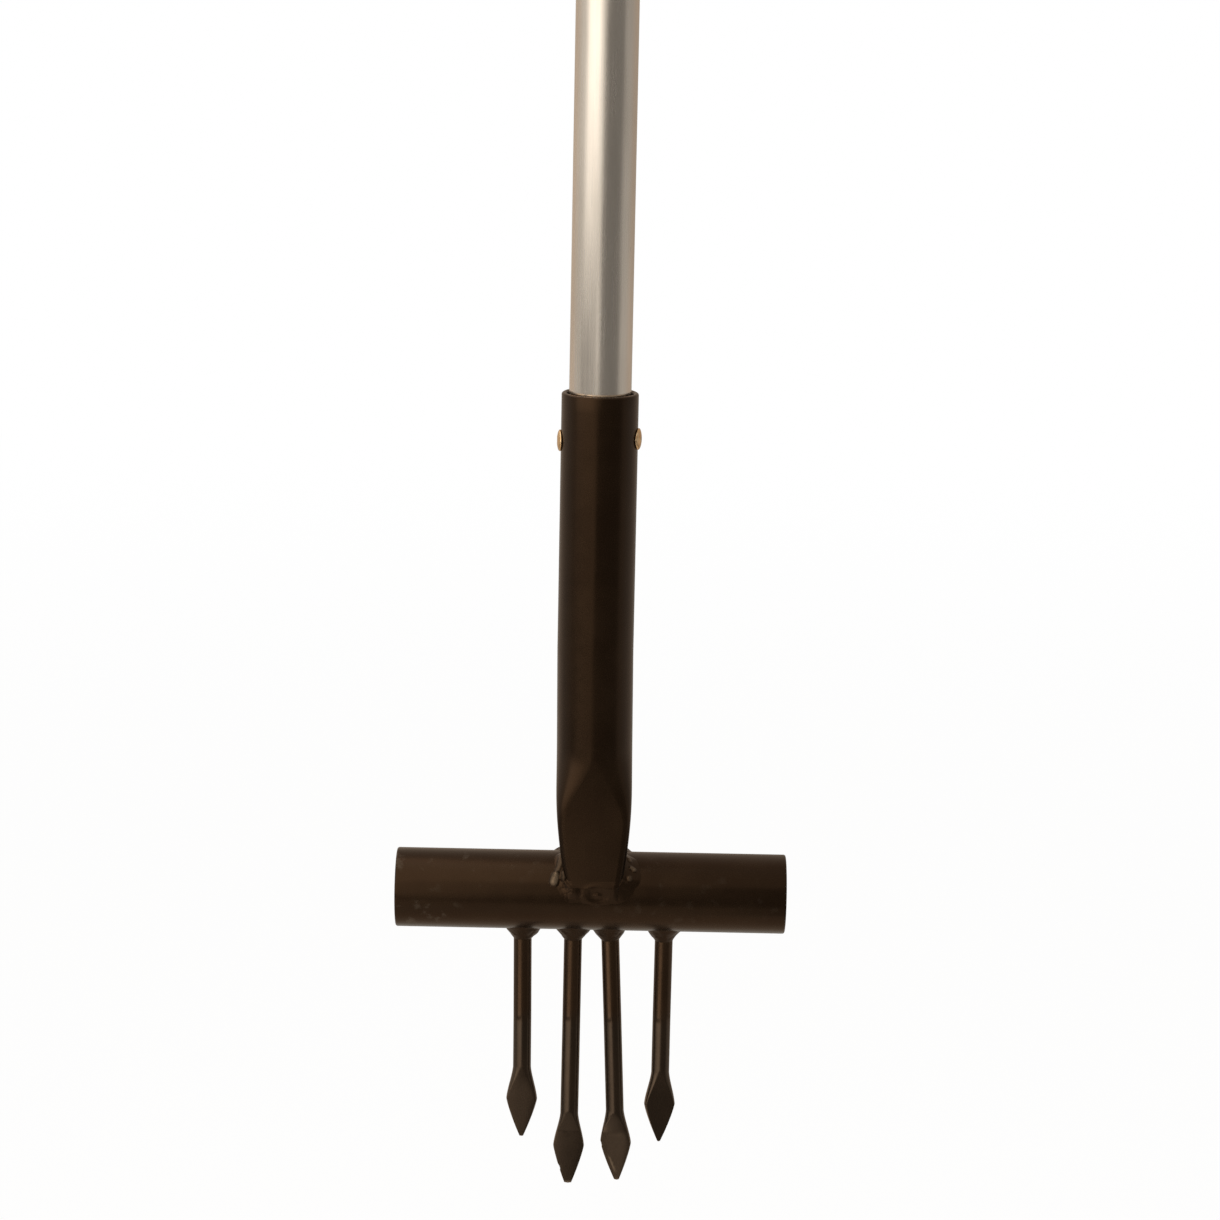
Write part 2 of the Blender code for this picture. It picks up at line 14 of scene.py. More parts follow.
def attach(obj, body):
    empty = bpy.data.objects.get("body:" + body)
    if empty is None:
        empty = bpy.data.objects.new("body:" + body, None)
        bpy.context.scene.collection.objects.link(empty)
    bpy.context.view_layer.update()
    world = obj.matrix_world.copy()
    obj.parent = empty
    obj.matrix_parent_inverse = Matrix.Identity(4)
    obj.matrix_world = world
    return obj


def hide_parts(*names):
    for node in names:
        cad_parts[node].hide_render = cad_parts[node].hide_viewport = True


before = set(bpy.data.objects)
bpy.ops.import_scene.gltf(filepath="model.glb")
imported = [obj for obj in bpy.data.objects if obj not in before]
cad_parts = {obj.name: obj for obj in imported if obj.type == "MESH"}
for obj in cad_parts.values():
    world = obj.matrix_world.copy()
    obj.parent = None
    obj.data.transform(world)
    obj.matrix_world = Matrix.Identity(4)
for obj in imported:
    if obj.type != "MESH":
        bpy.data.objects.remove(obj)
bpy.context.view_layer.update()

# Fulcrum bar
BAR_RADIUS = 0.01775
BAR_LENGTH = 0.1747
BAR_WALL = 0.0026
BAR_EDGE_RADIUS = 0.0009

# Shaft
SHAFT_RADIUS = 0.0136
SHAFT_WALL = 0.0020
SHAFT_BOTTOM = 0.1122
SHAFT_LENGTH = 0.9500
SHAFT_EDGE_RADIUS = 0.0004

# Hand grip
GRIP_LENGTH = 0.1300
GRIP_WALL = 0.0032
GRIP_TOP_THICKNESS = 0.0040
GRIP_EDGE_RADIUS = 0.0030
GRIP_COLLAR_HEIGHT = 0.0080
GRIP_COLLAR_RISE = 0.0018
GRIP_COLLAR_FLARE = 0.6
GRIP_MOUTH_RADIUS = 0.0007
GRIP_POLE_RADIUS = 0.0002
GRIP_GAP = 0.0003
GRIP_GROOVE_COUNT = 4
GRIP_GROOVE_PITCH = 0.0220
GRIP_GROOVE_WIDTH = 0.0050
GRIP_GROOVE_DEPTH = 0.0010
GRIP_FIRST_GROOVE_DROP = 0.0220
GRIP_RIB_COUNT = 30
GRIP_RIB_LENGTH = 0.0120
GRIP_RIB_RADIUS = 0.0007
GRIP_RIB_WIDENING = 1.6
GRIP_RIB_SINK = 0.4 * GRIP_RIB_RADIUS

# Socket, with its heights above the bar's axis
SOCKET_RADIUS = 0.01685
SOCKET_WALL = 0.0023
SOCKET_TOP = 0.2262
SOCKET_RIM_RADIUS = 0.0010
SQUEEZE_TOP = 0.0500
SQUEEZE_EASE = 1.8
FLARE_EASE = 2.2
FLATTENING_TOP = 0.0680
FLATTENING_BOTTOM = 0.0350
FOOT_HALF_WIDTH = 0.0125
FOOT_CORNER_RADIUS = 0.0036
FOOT_TURN = 0.070
LIP_HEIGHT = 0.0065
LEAN_TOP = 0.1100
LEAN_SHIFT = 0.0012
WELD_SINK = 0.0006
LIP_REACH = math.sqrt(BAR_RADIUS**2 - LIP_HEIGHT**2) + SOCKET_WALL

# Prongs
PRONG_RADIUS = 0.00405
PRONG_ROOT_SHARE = 0.0020
KINK_DROP = 0.0425
KINK_ANGLE = math.radians(10.0)
KINK_RADIUS = 0.0200
POINT_WIDTH = 0.0140
POINT_LENGTH = 0.0175
POINT_THICKNESS = 0.0036
POINT_CURVE = 1.25
POINT_SQUARENESS = 0.45
FLARE_LENGTH = 0.0145
FACET_RISE = 0.0020
TIP_THICKNESS = 0.0012
CHIP_HALF_LENGTH = 0.0015
SCAR_END = 0.0040
SCAR_MIDDLE = 0.0075
SCAR_HALF_LENGTH = 0.0045
SCAR_SLANT = 40.0
SCAR_HALF_WIDTH = 0.14

# Each prong, with the marks that its own point shows
PRONGS = {
    "outer_left": {
        "Root X": -0.0304, "Tip X": -0.0294, "Reach": 0.0965, "Tip Width": 0.0014, "Facet Length": 0.0215,
        "Soft Crease": 0.0, "Scar": 0.0, "Face Turn": math.radians(-3.4), "Face Crown": 0.00018,
        "Chip Height": 0.0100, "Chip Depth": 0.0, "Bare Tip": 0.0004,
    },
    "inner_left": {
        "Root X": -0.0076, "Tip X": -0.0079, "Reach": 0.1172, "Tip Width": 0.0029, "Facet Length": 0.0100,
        "Soft Crease": 0.0, "Scar": 0.0, "Face Turn": math.radians(-2.0), "Face Crown": 0.00015,
        "Chip Height": 0.0074, "Chip Depth": 0.0004, "Bare Tip": 0.0010,
    },
    "inner_right": {
        "Root X": 0.0090, "Tip X": 0.0143, "Reach": 0.1154, "Tip Width": 0.0018, "Facet Length": 0.0135,
        "Soft Crease": 0.8, "Scar": 1.0, "Face Turn": math.radians(-7.5), "Face Crown": 0.00030,
        "Chip Height": 0.0165, "Chip Depth": 0.0003, "Bare Tip": 0.0008,
    },
    "outer_right": {
        "Root X": 0.0334, "Tip X": 0.0330, "Reach": 0.0977, "Tip Width": 0.0009, "Facet Length": 0.0215,
        "Soft Crease": 0.0, "Scar": 0.0, "Face Turn": math.radians(7.0), "Face Crown": 0.00010,
        "Chip Height": 0.0100, "Chip Depth": 0.0, "Bare Tip": 0.0004,
    },
}

# The fillet at each prong's root: legs on the bar, and how hollow (over 1) or full (under 1) each side is
PRONG_WELDS = {
    "outer_left": {
        "Left Leg": 0.0043, "Right Leg": 0.0044, "Left Hollow": 1.0, "Right Hollow": 0.62, "Seed": 1.0,
    },
    "inner_left": {
        "Left Leg": 0.0046, "Right Leg": 0.0046, "Left Hollow": 1.0, "Right Hollow": 0.85, "Seed": 2.0,
    },
    "inner_right": {
        "Left Leg": 0.0046, "Right Leg": 0.0030, "Left Hollow": 0.9, "Right Hollow": 0.65, "Seed": 3.0,
    },
    "outer_right": {
        "Left Leg": 0.0040, "Right Leg": 0.0062, "Left Hollow": 0.95, "Right Hollow": 2.4, "Seed": 4.0,
    },
}
PRONG_WELD_HEIGHT = 0.0054
PRONG_WELD_SINK = 0.0012
PRONG_WELD_LUMPS = 0.0004
PRONG_WELD_RIPPLES = 320.0
PRONG_WELD_FRONT_LEG = 0.0056
PRONG_WELD_FRONT_HOLLOW = 1.6
PRONG_WELD_INNER_SHARE = 0.93

# Shares of a prong weld's rows: those sunk in the bar, those before its toe and those over its fillet
PRONG_WELD_SUNK_SHARE = 0.04
PRONG_WELD_TOE_SHARE = 0.08
PRONG_WELD_FILLET_SHARE = 0.84

# The welds round the socket's foot, drawn over the bar's surface: x along it, and down from its top line
SIDE_FILLET_LEG = 0.0042
SIDE_FILLET_HEIGHT = 0.0019
SIDE_FILLET_HOLLOW = 2.0
LIP_FILLET_LEG = 0.0076
LIP_FILLET_HOLLOW = 1.8
LIP_OVERLAP = 0.00012
LIP_OVERLAP_WIDTH = 0.0024
LIP_OVERLAP_DIP = 0.0014
LIP_BLEND = 0.0040
CORNER_COVER = 0.62
WELD_ROUGHNESS = 0.00012
WELD_RIPPLES = 300.0
WELD_GRAINS = 800.0
TOE_DEPTH = 0.00006

# The part of the bar's surface that a socket weld is drawn on, and how far it is sunk where it has no weld
PATCH_LEFT = -0.0245
PATCH_RIGHT = 0.0285
PATCH_TOP = 0.0004
PATCH_BOTTOM = 0.0335
PATCH_TOP_FADE = 0.0070
PATCH_TOP_SHARE = 0.25
PATCH_SINK = 0.0010
PATCH_UNDERSIDE = 0.0016
PATCH_COLUMNS = 300
PATCH_ROWS = 190
# The last share of each bead mixes in lighter, partly metallic steel: on the front's ridge, bulb and small
# blobs this is a painted highlight as well as bare metal.
FRONT_BEADS = (
    {
        "path": ((-0.0134, 0.0070), (-0.0142, 0.0120), (-0.0156, 0.0160)),
        "radius": 0.0018, "height": 0.0012, "wear_and_glint": 0.3,
    },
    {
        "path": ((-0.0158, 0.0166), (-0.0165, 0.0192)),
        "radius": 0.0026, "height": 0.0017, "wear_and_glint": 0.9,
    },
    {
        "path": ((-0.0127, 0.0160), (-0.0124, 0.0175)),
        "radius": 0.0018, "height": 0.0009, "wear_and_glint": 0.2,
    },
    {
        "path": ((-0.0098, 0.0232), (-0.0070, 0.0240)),
        "radius": 0.0028, "height": 0.0004, "wear_and_glint": 0.0,
    },
    {
        "path": ((0.0150, 0.0090), (0.0164, 0.0150), (0.0166, 0.0164)),
        "radius": 0.0062, "height": 0.0014, "wear_and_glint": 0.0,
    },
    {
        "path": ((0.0168, 0.0082), (0.0172, 0.0090)),
        "radius": 0.0013, "height": 0.0007, "wear_and_glint": 0.3,
    },
    {
        "path": ((0.0180, 0.0126), (0.0192, 0.0133)),
        "radius": 0.0014, "height": 0.0008, "wear_and_glint": 0.4,
    },
    {
        "path": ((0.0172, 0.0172), (0.0174, 0.0178)),
        "radius": 0.0014, "height": 0.0006, "wear_and_glint": 0.2,
    },
)
BACK_BEADS = (
    {
        "path": ((-0.0150, 0.0080), (-0.0166, 0.0130), (-0.0168, 0.0190)),
        "radius": 0.0026, "height": 0.0010, "wear_and_glint": 0.0,
    },
    {
        "path": ((-0.0150, 0.0225), (-0.0120, 0.0250)),
        "radius": 0.0024, "height": 0.0007, "wear_and_glint": 0.2,
    },
    {
        "path": ((0.0160, 0.0085), (0.0174, 0.0140), (0.0172, 0.0200)),
        "radius": 0.0025, "height": 0.0009, "wear_and_glint": 0.0,
    },
    {
        "path": ((0.0030, 0.0258), (0.0070, 0.0252)),
        "radius": 0.0026, "height": 0.0005, "wear_and_glint": 0.0,
    },
)

# The crater where the front run ends. The sizes of its rim and middle bead are shares of its own.
FRONT_CRATER = {"x": 0.0031, "down": 0.0248, "half_width": 0.0056, "half_height": 0.0034, "depth": 0.00065}
CRATER_RIM_HEIGHT = 0.20
CRATER_RIM_PLACE = 1.15
CRATER_RIM_WIDTH = 0.25
CRATER_BEAD_WIDTH = 0.34

# Rivets
RIVET_HEAD_RADIUS = 0.00475
RIVET_HEAD_HEIGHT = 0.0018
RIVET_RIM_HEIGHT = 0.00045
RIVET_SHANK_RADIUS = 0.0024
RIVET_SHANK_LENGTH = 0.0060
RIVET_BORE_RADIUS = 0.00145
RIVET_BORE_DEPTH = 0.0011
RIVET_BORE_SOFTNESS = 0.08
RIVET_HEAD_SHARE = 0.85
RIVET_SEAT = SOCKET_RADIUS - 0.00005
RIVET_PULL = 0.6
RIVETS = {
    "left": {"drop": 0.0214, "bearing": math.radians(182.0)},
    "right": {"drop": 0.0198, "bearing": math.radians(-9.0)},
}

# Smoothness
TUBE_SIDES = 160
EDGE_STEPS = 5
GRIP_SIDES = 96
GRIP_EDGE_STEPS = 10
GRIP_GROOVE_STEPS = 16
GRIP_COLLAR_STEPS = 12
GRIP_MOUTH_STEPS = 6
GRIP_RIB_SIDES = 10
GRIP_RIB_ROWS = 8
PRONG_SIDES = 72
PRONG_ROWS = 300
PRONG_WELD_SIDES = 96
PRONG_WELD_ROWS = 64
RIVET_SIDES = 64
RIVET_ROWS = 90
SOCKET_ROWS = 90
SOCKET_RIM_STEPS = 8
SOCKET_ROW_CROWDING = 0.8
SADDLE_PASSES = 12
FACE_PASSES = 3
END_SHARE = 0.001
TINY = 0.000001

# The photograph's frame and the camera that took it
PHOTO_PIXELS = 1220
FOCAL_PIXELS = 3243.87
SENSOR_WIDTH = 36.0
CAMERA_TARGET = Vector((0.006113, 0.0, 0.12927 + BAR_RADIUS))
CAMERA_DISTANCE = 1.433293
CAMERA_PITCH = math.radians(12.244)
CAMERA_AZIMUTH = math.radians(0.04)
CAMERA_ROLL = math.radians(1.15)
CAMERA_NEAREST = 0.05
CAMERA_FARTHEST = 60.0

# Studio
WHITE = (1.0, 1.0, 1.0)
AMBIENT_COLOUR = (1.0, 0.97, 0.93)
AMBIENT_LEVEL = 0.55
FLOOR_COLOUR = (0.90, 0.89, 0.87)
FLOOR_HEIGHT = -0.42
FLOOR_SIZE = 80.0
FLOOR_GLOW = 0.94
FLOOR_FADE_START = 0.9
FLOOR_FADE_END = 4.0

# Softboxes, all turned towards a point of the fork
LIGHT_TARGET = (0.0, 0.0, 0.20)
LIGHT_COLOUR = (1.0, 0.965, 0.92)
SOFTBOXES = {
    "key_softbox": {"place": (-1.55, -1.75, 1.05), "width": 1.3, "height": 1.6, "power": 30.0},
    "top_softbox": {"place": (-0.2, 0.1, 2.4), "width": 1.6, "height": 1.2, "power": 20.0},
    "fill_softbox": {"place": (2.2, -0.8, 0.9), "width": 1.2, "height": 1.6, "power": 10.0},
}

# The light tent round the fork, which only reflections see. Azimuth 0 is straight to the front and a
# positive one is to the right of the camera; all angles are in degrees. Later panels cover earlier ones.
TENT_RADIUS = 4.0
TENT_SIDES = 48
TENT_ROWS = 24
TENT_LEVEL = 0.58
TENT_COLOUR = (1.0, 0.90, 0.78)
TENT_BACK_COLOUR = (1.0, 0.79, 0.61)
TENT_LOW_COLOUR = (1.0, 0.75, 0.53)

# Where the tent's other colours fade in: degrees round from the front, then degrees below the horizon
TENT_BEHIND = (95.0, 130.0)
TENT_FAR_BEHIND = (146.0, 166.0)
TENT_BELOW = (0.0, 6.0)
TENT_BENEATH = (44.0, 76.0)

TENT_PANELS = {
    "floor": {"azimuth": (-200, 200), "elevation": (-100, -30), "blur": 5, "level": 0.66},
    "left_wall": {"azimuth": (-115, -9), "elevation": (-9, 30), "blur": 3, "level": 0.62},
    "left_skirting": {"azimuth": (-80, -9), "elevation": (-19, -8), "blur": 3, "level": 0.11},
    "left_corner": {"azimuth": (-115, -80), "elevation": (-19, -9), "blur": 5, "level": 0.40},
    "key": {"azimuth": (-72, -13), "elevation": (-5, 50), "blur": 4, "level": 1.85},
    "low_key": {"azimuth": (-58, -20), "elevation": (-30, -19), "blur": 2, "level": 2.2},
    "low_left": {"azimuth": (-200, -66), "elevation": (-30, -18), "blur": 4, "level": 0.30},
    "dark_front": {"azimuth": (-8, 72), "elevation": (-26, 32), "blur": 4, "level": 0.18},
    "front_wall": {"azimuth": (-10, 3), "elevation": (2, 36), "blur": 3, "level": 0.60},
    "face_wall": {"azimuth": (-18, -7), "elevation": (-14, 30), "blur": 2, "level": 1.05},
    "dark_slot": {"azimuth": (-6, 1), "elevation": (-14, -3), "blur": 2, "level": 0.05},
    "right_wall": {"azimuth": (72, 125), "elevation": (-17, 30), "blur": 8, "level": 0.50},
    "right_upper": {"azimuth": (72, 125), "elevation": (-4, 30), "blur": 4, "level": 0.39},
    "dark_floor": {"azimuth": (13, 95), "elevation": (-50, -26), "blur": 4, "level": 0.20},
    "low_right": {"azimuth": (60, 200), "elevation": (-30, -19), "blur": 4, "level": 0.18},
    "right_back": {"azimuth": (125, 200), "elevation": (-17, 30), "blur": 8, "level": 0.46},
    "overhead_left": {"azimuth": (-150, 0), "elevation": (36, 105), "blur": 5, "level": 1.55},
    "overhead_right": {"azimuth": (0, 150), "elevation": (36, 105), "blur": 5, "level": 0.52},
}


# Arithmetic in node trees


class Term:
    """A number in a node tree. Arithmetic on it adds Math nodes to the tree."""

    def __init__(self, tree, socket):
        self.tree = tree
        self.socket = socket

    def __add__(self, other):
        return calculate("ADD", self, other)

    def __radd__(self, other):
        return calculate("ADD", other, self)

    def __sub__(self, other):
        return calculate("SUBTRACT", self, other)

    def __rsub__(self, other):
        return calculate("SUBTRACT", other, self)

    def __mul__(self, other):
        return calculate("MULTIPLY", self, other)

    def __rmul__(self, other):
        return calculate("MULTIPLY", other, self)

    def __truediv__(self, other):
        return calculate("DIVIDE", self, other)

    def __rtruediv__(self, other):
        return calculate("DIVIDE", other, self)

    def __pow__(self, other):
        return calculate("POWER", self, other)

    def __neg__(self):
        return calculate("MULTIPLY", self, -1.0)


def feed(term, socket):
    """Put a term or a plain value into a socket."""
    if isinstance(term, Term):
        term.tree.links.new(term.socket, socket)
    else:
        socket.default_value = term


def calculate(operation, *terms):
    tree = next(term.tree for term in terms if isinstance(term, Term))
    node = tree.nodes.new("ShaderNodeMath")
    node.operation = operation
    for term, socket in zip(terms, node.inputs):
        feed(term, socket)
    return Term(tree, node.outputs[0])


def sine(term):
    return calculate("SINE", term)


def cosine(term):
    return calculate("COSINE", term)


def root(term):
    return calculate("SQRT", term)


def least(first, second):
    return calculate("MINIMUM", first, second)


def greatest(first, second):
    return calculate("MAXIMUM", first, second)


def between(term, low, high):
    return least(greatest(term, low), high)


def eased(share):
    """A share from 0 to 1, with a slow start and end."""
    return share * share * (3.0 - 2.0 * share)


def mixed(start, end, share):
    return start + (end - start) * share


def hump(term, middle, half_width):
    """1 at the middle, falling smoothly to 0 at half_width on either side."""
    away = (term - middle) / half_width
    return eased(greatest(1.0 - away * away, 0.0))


# Geometry Nodes


def new_geometry_tree(name, sizes):
    """A tree with one named input for each size, and one for the material."""
    tree = bpy.data.node_groups.new(name, "GeometryNodeTree")
    tree.interface.new_socket("Geometry", in_out="INPUT", socket_type="NodeSocketGeometry")
    tree.interface.new_socket("Geometry", in_out="OUTPUT", socket_type="NodeSocketGeometry")
    for label, value in sizes.items():
        socket = tree.interface.new_socket(label, in_out="INPUT", socket_type="NodeSocketFloat")
        socket.default_value = value
    tree.interface.new_socket("Finish", in_out="INPUT", socket_type="NodeSocketMaterial")
    group_input = tree.nodes.new("NodeGroupInput")
    terms = {label: Term(tree, group_input.outputs[label]) for label in sizes}
    return tree, terms, group_input.outputs["Finish"]


def sheet(tree, columns, rows):
    """A grid of points, with each point's place across it and along it from 0 to 1."""
    grid = tree.nodes.new("GeometryNodeMeshGrid")
    grid.inputs["Size X"].default_value = 1.0
    grid.inputs["Size Y"].default_value = 1.0
    grid.inputs["Vertices X"].default_value = columns + 1
    grid.inputs["Vertices Y"].default_value = rows + 1
    position = tree.nodes.new("GeometryNodeInputPosition")
    parts = tree.nodes.new("ShaderNodeSeparateXYZ")
    tree.links.new(position.outputs[0], parts.inputs[0])
    return grid.outputs["Mesh"], Term(tree, parts.outputs["X"]) + 0.5, Term(tree, parts.outputs["Y"]) + 0.5


def past_start(along):
    """0 on a sheet's first row, where the shape is closed, and 1 after it."""
    return calculate("GREATER_THAN", along, END_SHARE)


def before_end(along):
    """1 down a sheet and 0 on its last row, where the shape is closed."""
    return calculate("LESS_THAN", along, 1.0 - END_SHARE)


def vector(tree, x, y, z):
    node = tree.nodes.new("ShaderNodeCombineXYZ")
    for term, socket in zip((x, y, z), node.inputs):
        feed(term, socket)
    return node.outputs[0]


def stored(tree, geometry, label, term):
    """Keep a term on the points under a name, for the material to read."""
    store = tree.nodes.new("GeometryNodeStoreNamedAttribute")
    store.data_type = "FLOAT"
    store.domain = "POINT"
    store.inputs["Name"].default_value = label
    tree.links.new(geometry, store.inputs["Geometry"])
    feed(term, store.inputs["Value"])
    return store.outputs["Geometry"]


def moved(tree, geometry, place):
    node = tree.nodes.new("GeometryNodeSetPosition")
    tree.links.new(geometry, node.inputs["Geometry"])
    tree.links.new(place, node.inputs["Position"])
    return node.outputs["Geometry"]


def roughened(tree, place, scale, seed):
    """Noise around 0 at a place, from a fixed seed."""
    texture = tree.nodes.new("ShaderNodeTexNoise")
    texture.noise_dimensions = "4D"
    texture.inputs["Scale"].default_value = scale
    texture.inputs["Detail"].default_value = 3.0
    tree.links.new(place, texture.inputs["Vector"])
    feed(seed, texture.inputs["W"])
    return Term(tree, texture.outputs[0]) - 0.5


def closed_off(tree, geometry, finish, flipped):
    """Merge the seam and the ends, turn the faces over if they look inwards, and end the tree."""
    merge = tree.nodes.new("GeometryNodeMergeByDistance")
    merge.inputs["Distance"].default_value = TINY
    tree.links.new(geometry, merge.inputs["Geometry"])
    geometry = merge.outputs["Geometry"]
    if flipped:
        flip = tree.nodes.new("GeometryNodeFlipFaces")
        tree.links.new(geometry, flip.inputs["Mesh"])
        geometry = flip.outputs["Mesh"]
    realize = tree.nodes.new("GeometryNodeRealizeInstances")
    tree.links.new(geometry, realize.inputs["Geometry"])
    paint = tree.nodes.new("GeometryNodeSetMaterial")
    tree.links.new(realize.outputs["Geometry"], paint.inputs["Geometry"])
    tree.links.new(finish, paint.inputs["Material"])
    output = tree.nodes.new("NodeGroupOutput")
    tree.links.new(paint.outputs["Geometry"], output.inputs["Geometry"])


def grown(name, tree, sizes, finish):
    """A plain mesh piece grown by a Geometry Nodes tree."""
    piece = bpy.data.objects.new(name, bpy.data.meshes.new(name))
    bpy.context.scene.collection.objects.link(piece)
    modifier = piece.modifiers.new("Shape", "NODES")
    modifier.node_group = tree
    for item in tree.interface.items_tree:
        if item.in_out == "INPUT" and item.name in sizes:
            modifier[item.identifier] = sizes[item.name]
        if item.in_out == "INPUT" and item.name == "Finish":
            modifier[item.identifier] = finish
    bpy.context.view_layer.update()
    mesh = bpy.data.meshes.new_from_object(piece.evaluated_get(bpy.context.evaluated_depsgraph_get()))
    piece.modifiers.clear()
    piece.data = mesh
    mesh.shade_smooth()
    return piece


# Meshes made of rings


def ring_mesh(name, rings):
    """Rings of points joined in order, and the last one to the first, into a closed skin."""
    bm = bmesh.new()
    loops = [[bm.verts.new(point) for point in ring] for ring in rings]
    for upper, lower in zip(loops, loops[1:] + loops[:1]):
        for index in range(len(upper)):
            following = (index + 1) % len(upper)
            bm.faces.new((upper[index], lower[index], lower[following], upper[following]))
    bmesh.ops.recalc_face_normals(bm, faces=bm.faces)
    mesh = bpy.data.meshes.new(name)
    bm.to_mesh(mesh)
    bm.free()
    return mesh


def circle(radius, height, sides):
    angles = [2 * math.pi * side / sides for side in range(sides)]
    return [Vector((radius * math.cos(angle), radius * math.sin(angle), height)) for angle in angles]


def spun(name, profile, sides):
    """A closed profile, as radius and height, spun round the Z axis."""
    return ring_mesh(name, [circle(radius, height, sides) for radius, height in profile])


def rounded_corner(middle_radius, middle_height, corner, start, end, steps=EDGE_STEPS):
    """Part of a profile that turns from one angle to another round a corner."""
    profile = []
    for step in range(steps + 1):
        angle = start + (end - start) * step / steps
        profile.append((middle_radius + corner * math.cos(angle), middle_height + corner * math.sin(angle)))
    return profile


def tube_profile(radius, wall, low, high, edge):
    """Closed profile of a tube with rounded edges: radius and height."""
    quarter = math.pi / 2
    inner = radius - wall
    profile = rounded_corner(radius - edge, high - edge, edge, 0.0, quarter)
    profile += rounded_corner(inner + edge, high - edge, edge, quarter, 2 * quarter)
    profile += rounded_corner(inner + edge, low + edge, edge, 2 * quarter, 3 * quarter)
    profile += rounded_corner(radius - edge, low + edge, edge, 3 * quarter, 4 * quarter)
    return profile


def placed(name, mesh, finish):
    mesh.materials.append(finish)
    mesh.shade_smooth()
    piece = bpy.data.objects.new(name, mesh)
    bpy.context.scene.collection.objects.link(piece)
    return piece


def fitted(piece, slot, *nodes):
    """Fix a finished piece to the fork, in the place of the nodes that it stands for."""
    if nodes:
        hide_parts(*nodes)
    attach(piece, "root")


# Finishes


def new_material(name, metallic, roughness):
    material = bpy.data.materials.new(name)
    material.use_nodes = True
    shader = material.node_tree.nodes["Principled BSDF"]
    shader.inputs["Metallic"].default_value = metallic
    shader.inputs["Roughness"].default_value = roughness
    return material, material.node_tree, shader


def object_place(tree, scale=(1.0, 1.0, 1.0)):
    """Object coordinates, stretched by a scale for each axis."""
    coordinate = tree.nodes.new("ShaderNodeTexCoord")
    mapping = tree.nodes.new("ShaderNodeMapping")
    mapping.inputs["Scale"].default_value = scale
    tree.links.new(coordinate.outputs["Object"], mapping.inputs["Vector"])
    return mapping.outputs["Vector"]


def cloud(tree, place, scale, detail=3.0, roughness=0.5):
    texture = tree.nodes.new("ShaderNodeTexNoise")
    texture.inputs["Scale"].default_value = scale
    texture.inputs["Detail"].default_value = detail
    texture.inputs["Roughness"].default_value = roughness
    tree.links.new(place, texture.inputs["Vector"])
    return Term(tree, texture.outputs[0])


def stepped(term, low, high):
    """0 below low, 1 above high, and eased between them."""
    return eased(between((term - low) / (high - low), 0.0, 1.0))


def tinted(tree, first, second, share):
    """A colour between two, by a share."""
    mix = tree.nodes.new("ShaderNodeMix")
    mix.data_type = "RGBA"
    colours = [socket for socket in mix.inputs if socket.type == "RGBA"]
    for colour, socket in zip((first, second), colours):
        if isinstance(colour, tuple):
            socket.default_value = (*colour, 1.0)
        else:
            tree.links.new(colour, socket)
    feed(share, mix.inputs["Factor"])
    return next(socket for socket in mix.outputs if socket.type == "RGBA")


def bumped(tree, shader, height, distance, below=None):
    """Add a bump of a height term, in metres, over an earlier bump."""
    bump = tree.nodes.new("ShaderNodeBump")
    bump.inputs["Strength"].default_value = 1.0
    bump.inputs["Distance"].default_value = distance
    feed(height, bump.inputs["Height"])
    if below is not None:
        tree.links.new(below, bump.inputs["Normal"])
    tree.links.new(bump.outputs["Normal"], shader.inputs["Normal"])
    return bump.outputs["Normal"]


BLACK = (0.0038, 0.0022, 0.0013)
BROWN_BLACK = (0.0065, 0.0038, 0.0021)
PAINT_SHEEN = (1.0, 0.60, 0.35)
# Greyer reflection tint below the prongs' kink: a painted reflection colour.
GREYER_REFLECTION_TINT = (1.0, 0.74, 0.54)
# Bare steel for worn tips and chips, also used as painted highlight on the points' left edges and on weld
# beads.
GLINT_AND_WORN_STEEL = (0.135, 0.098, 0.064)
SMUDGE = (0.030, 0.025, 0.019)
# Steel colour of the thin painted highlight along the front of the socket's rim.
RIM_GLINT_COLOUR = (0.60, 0.51, 0.40)


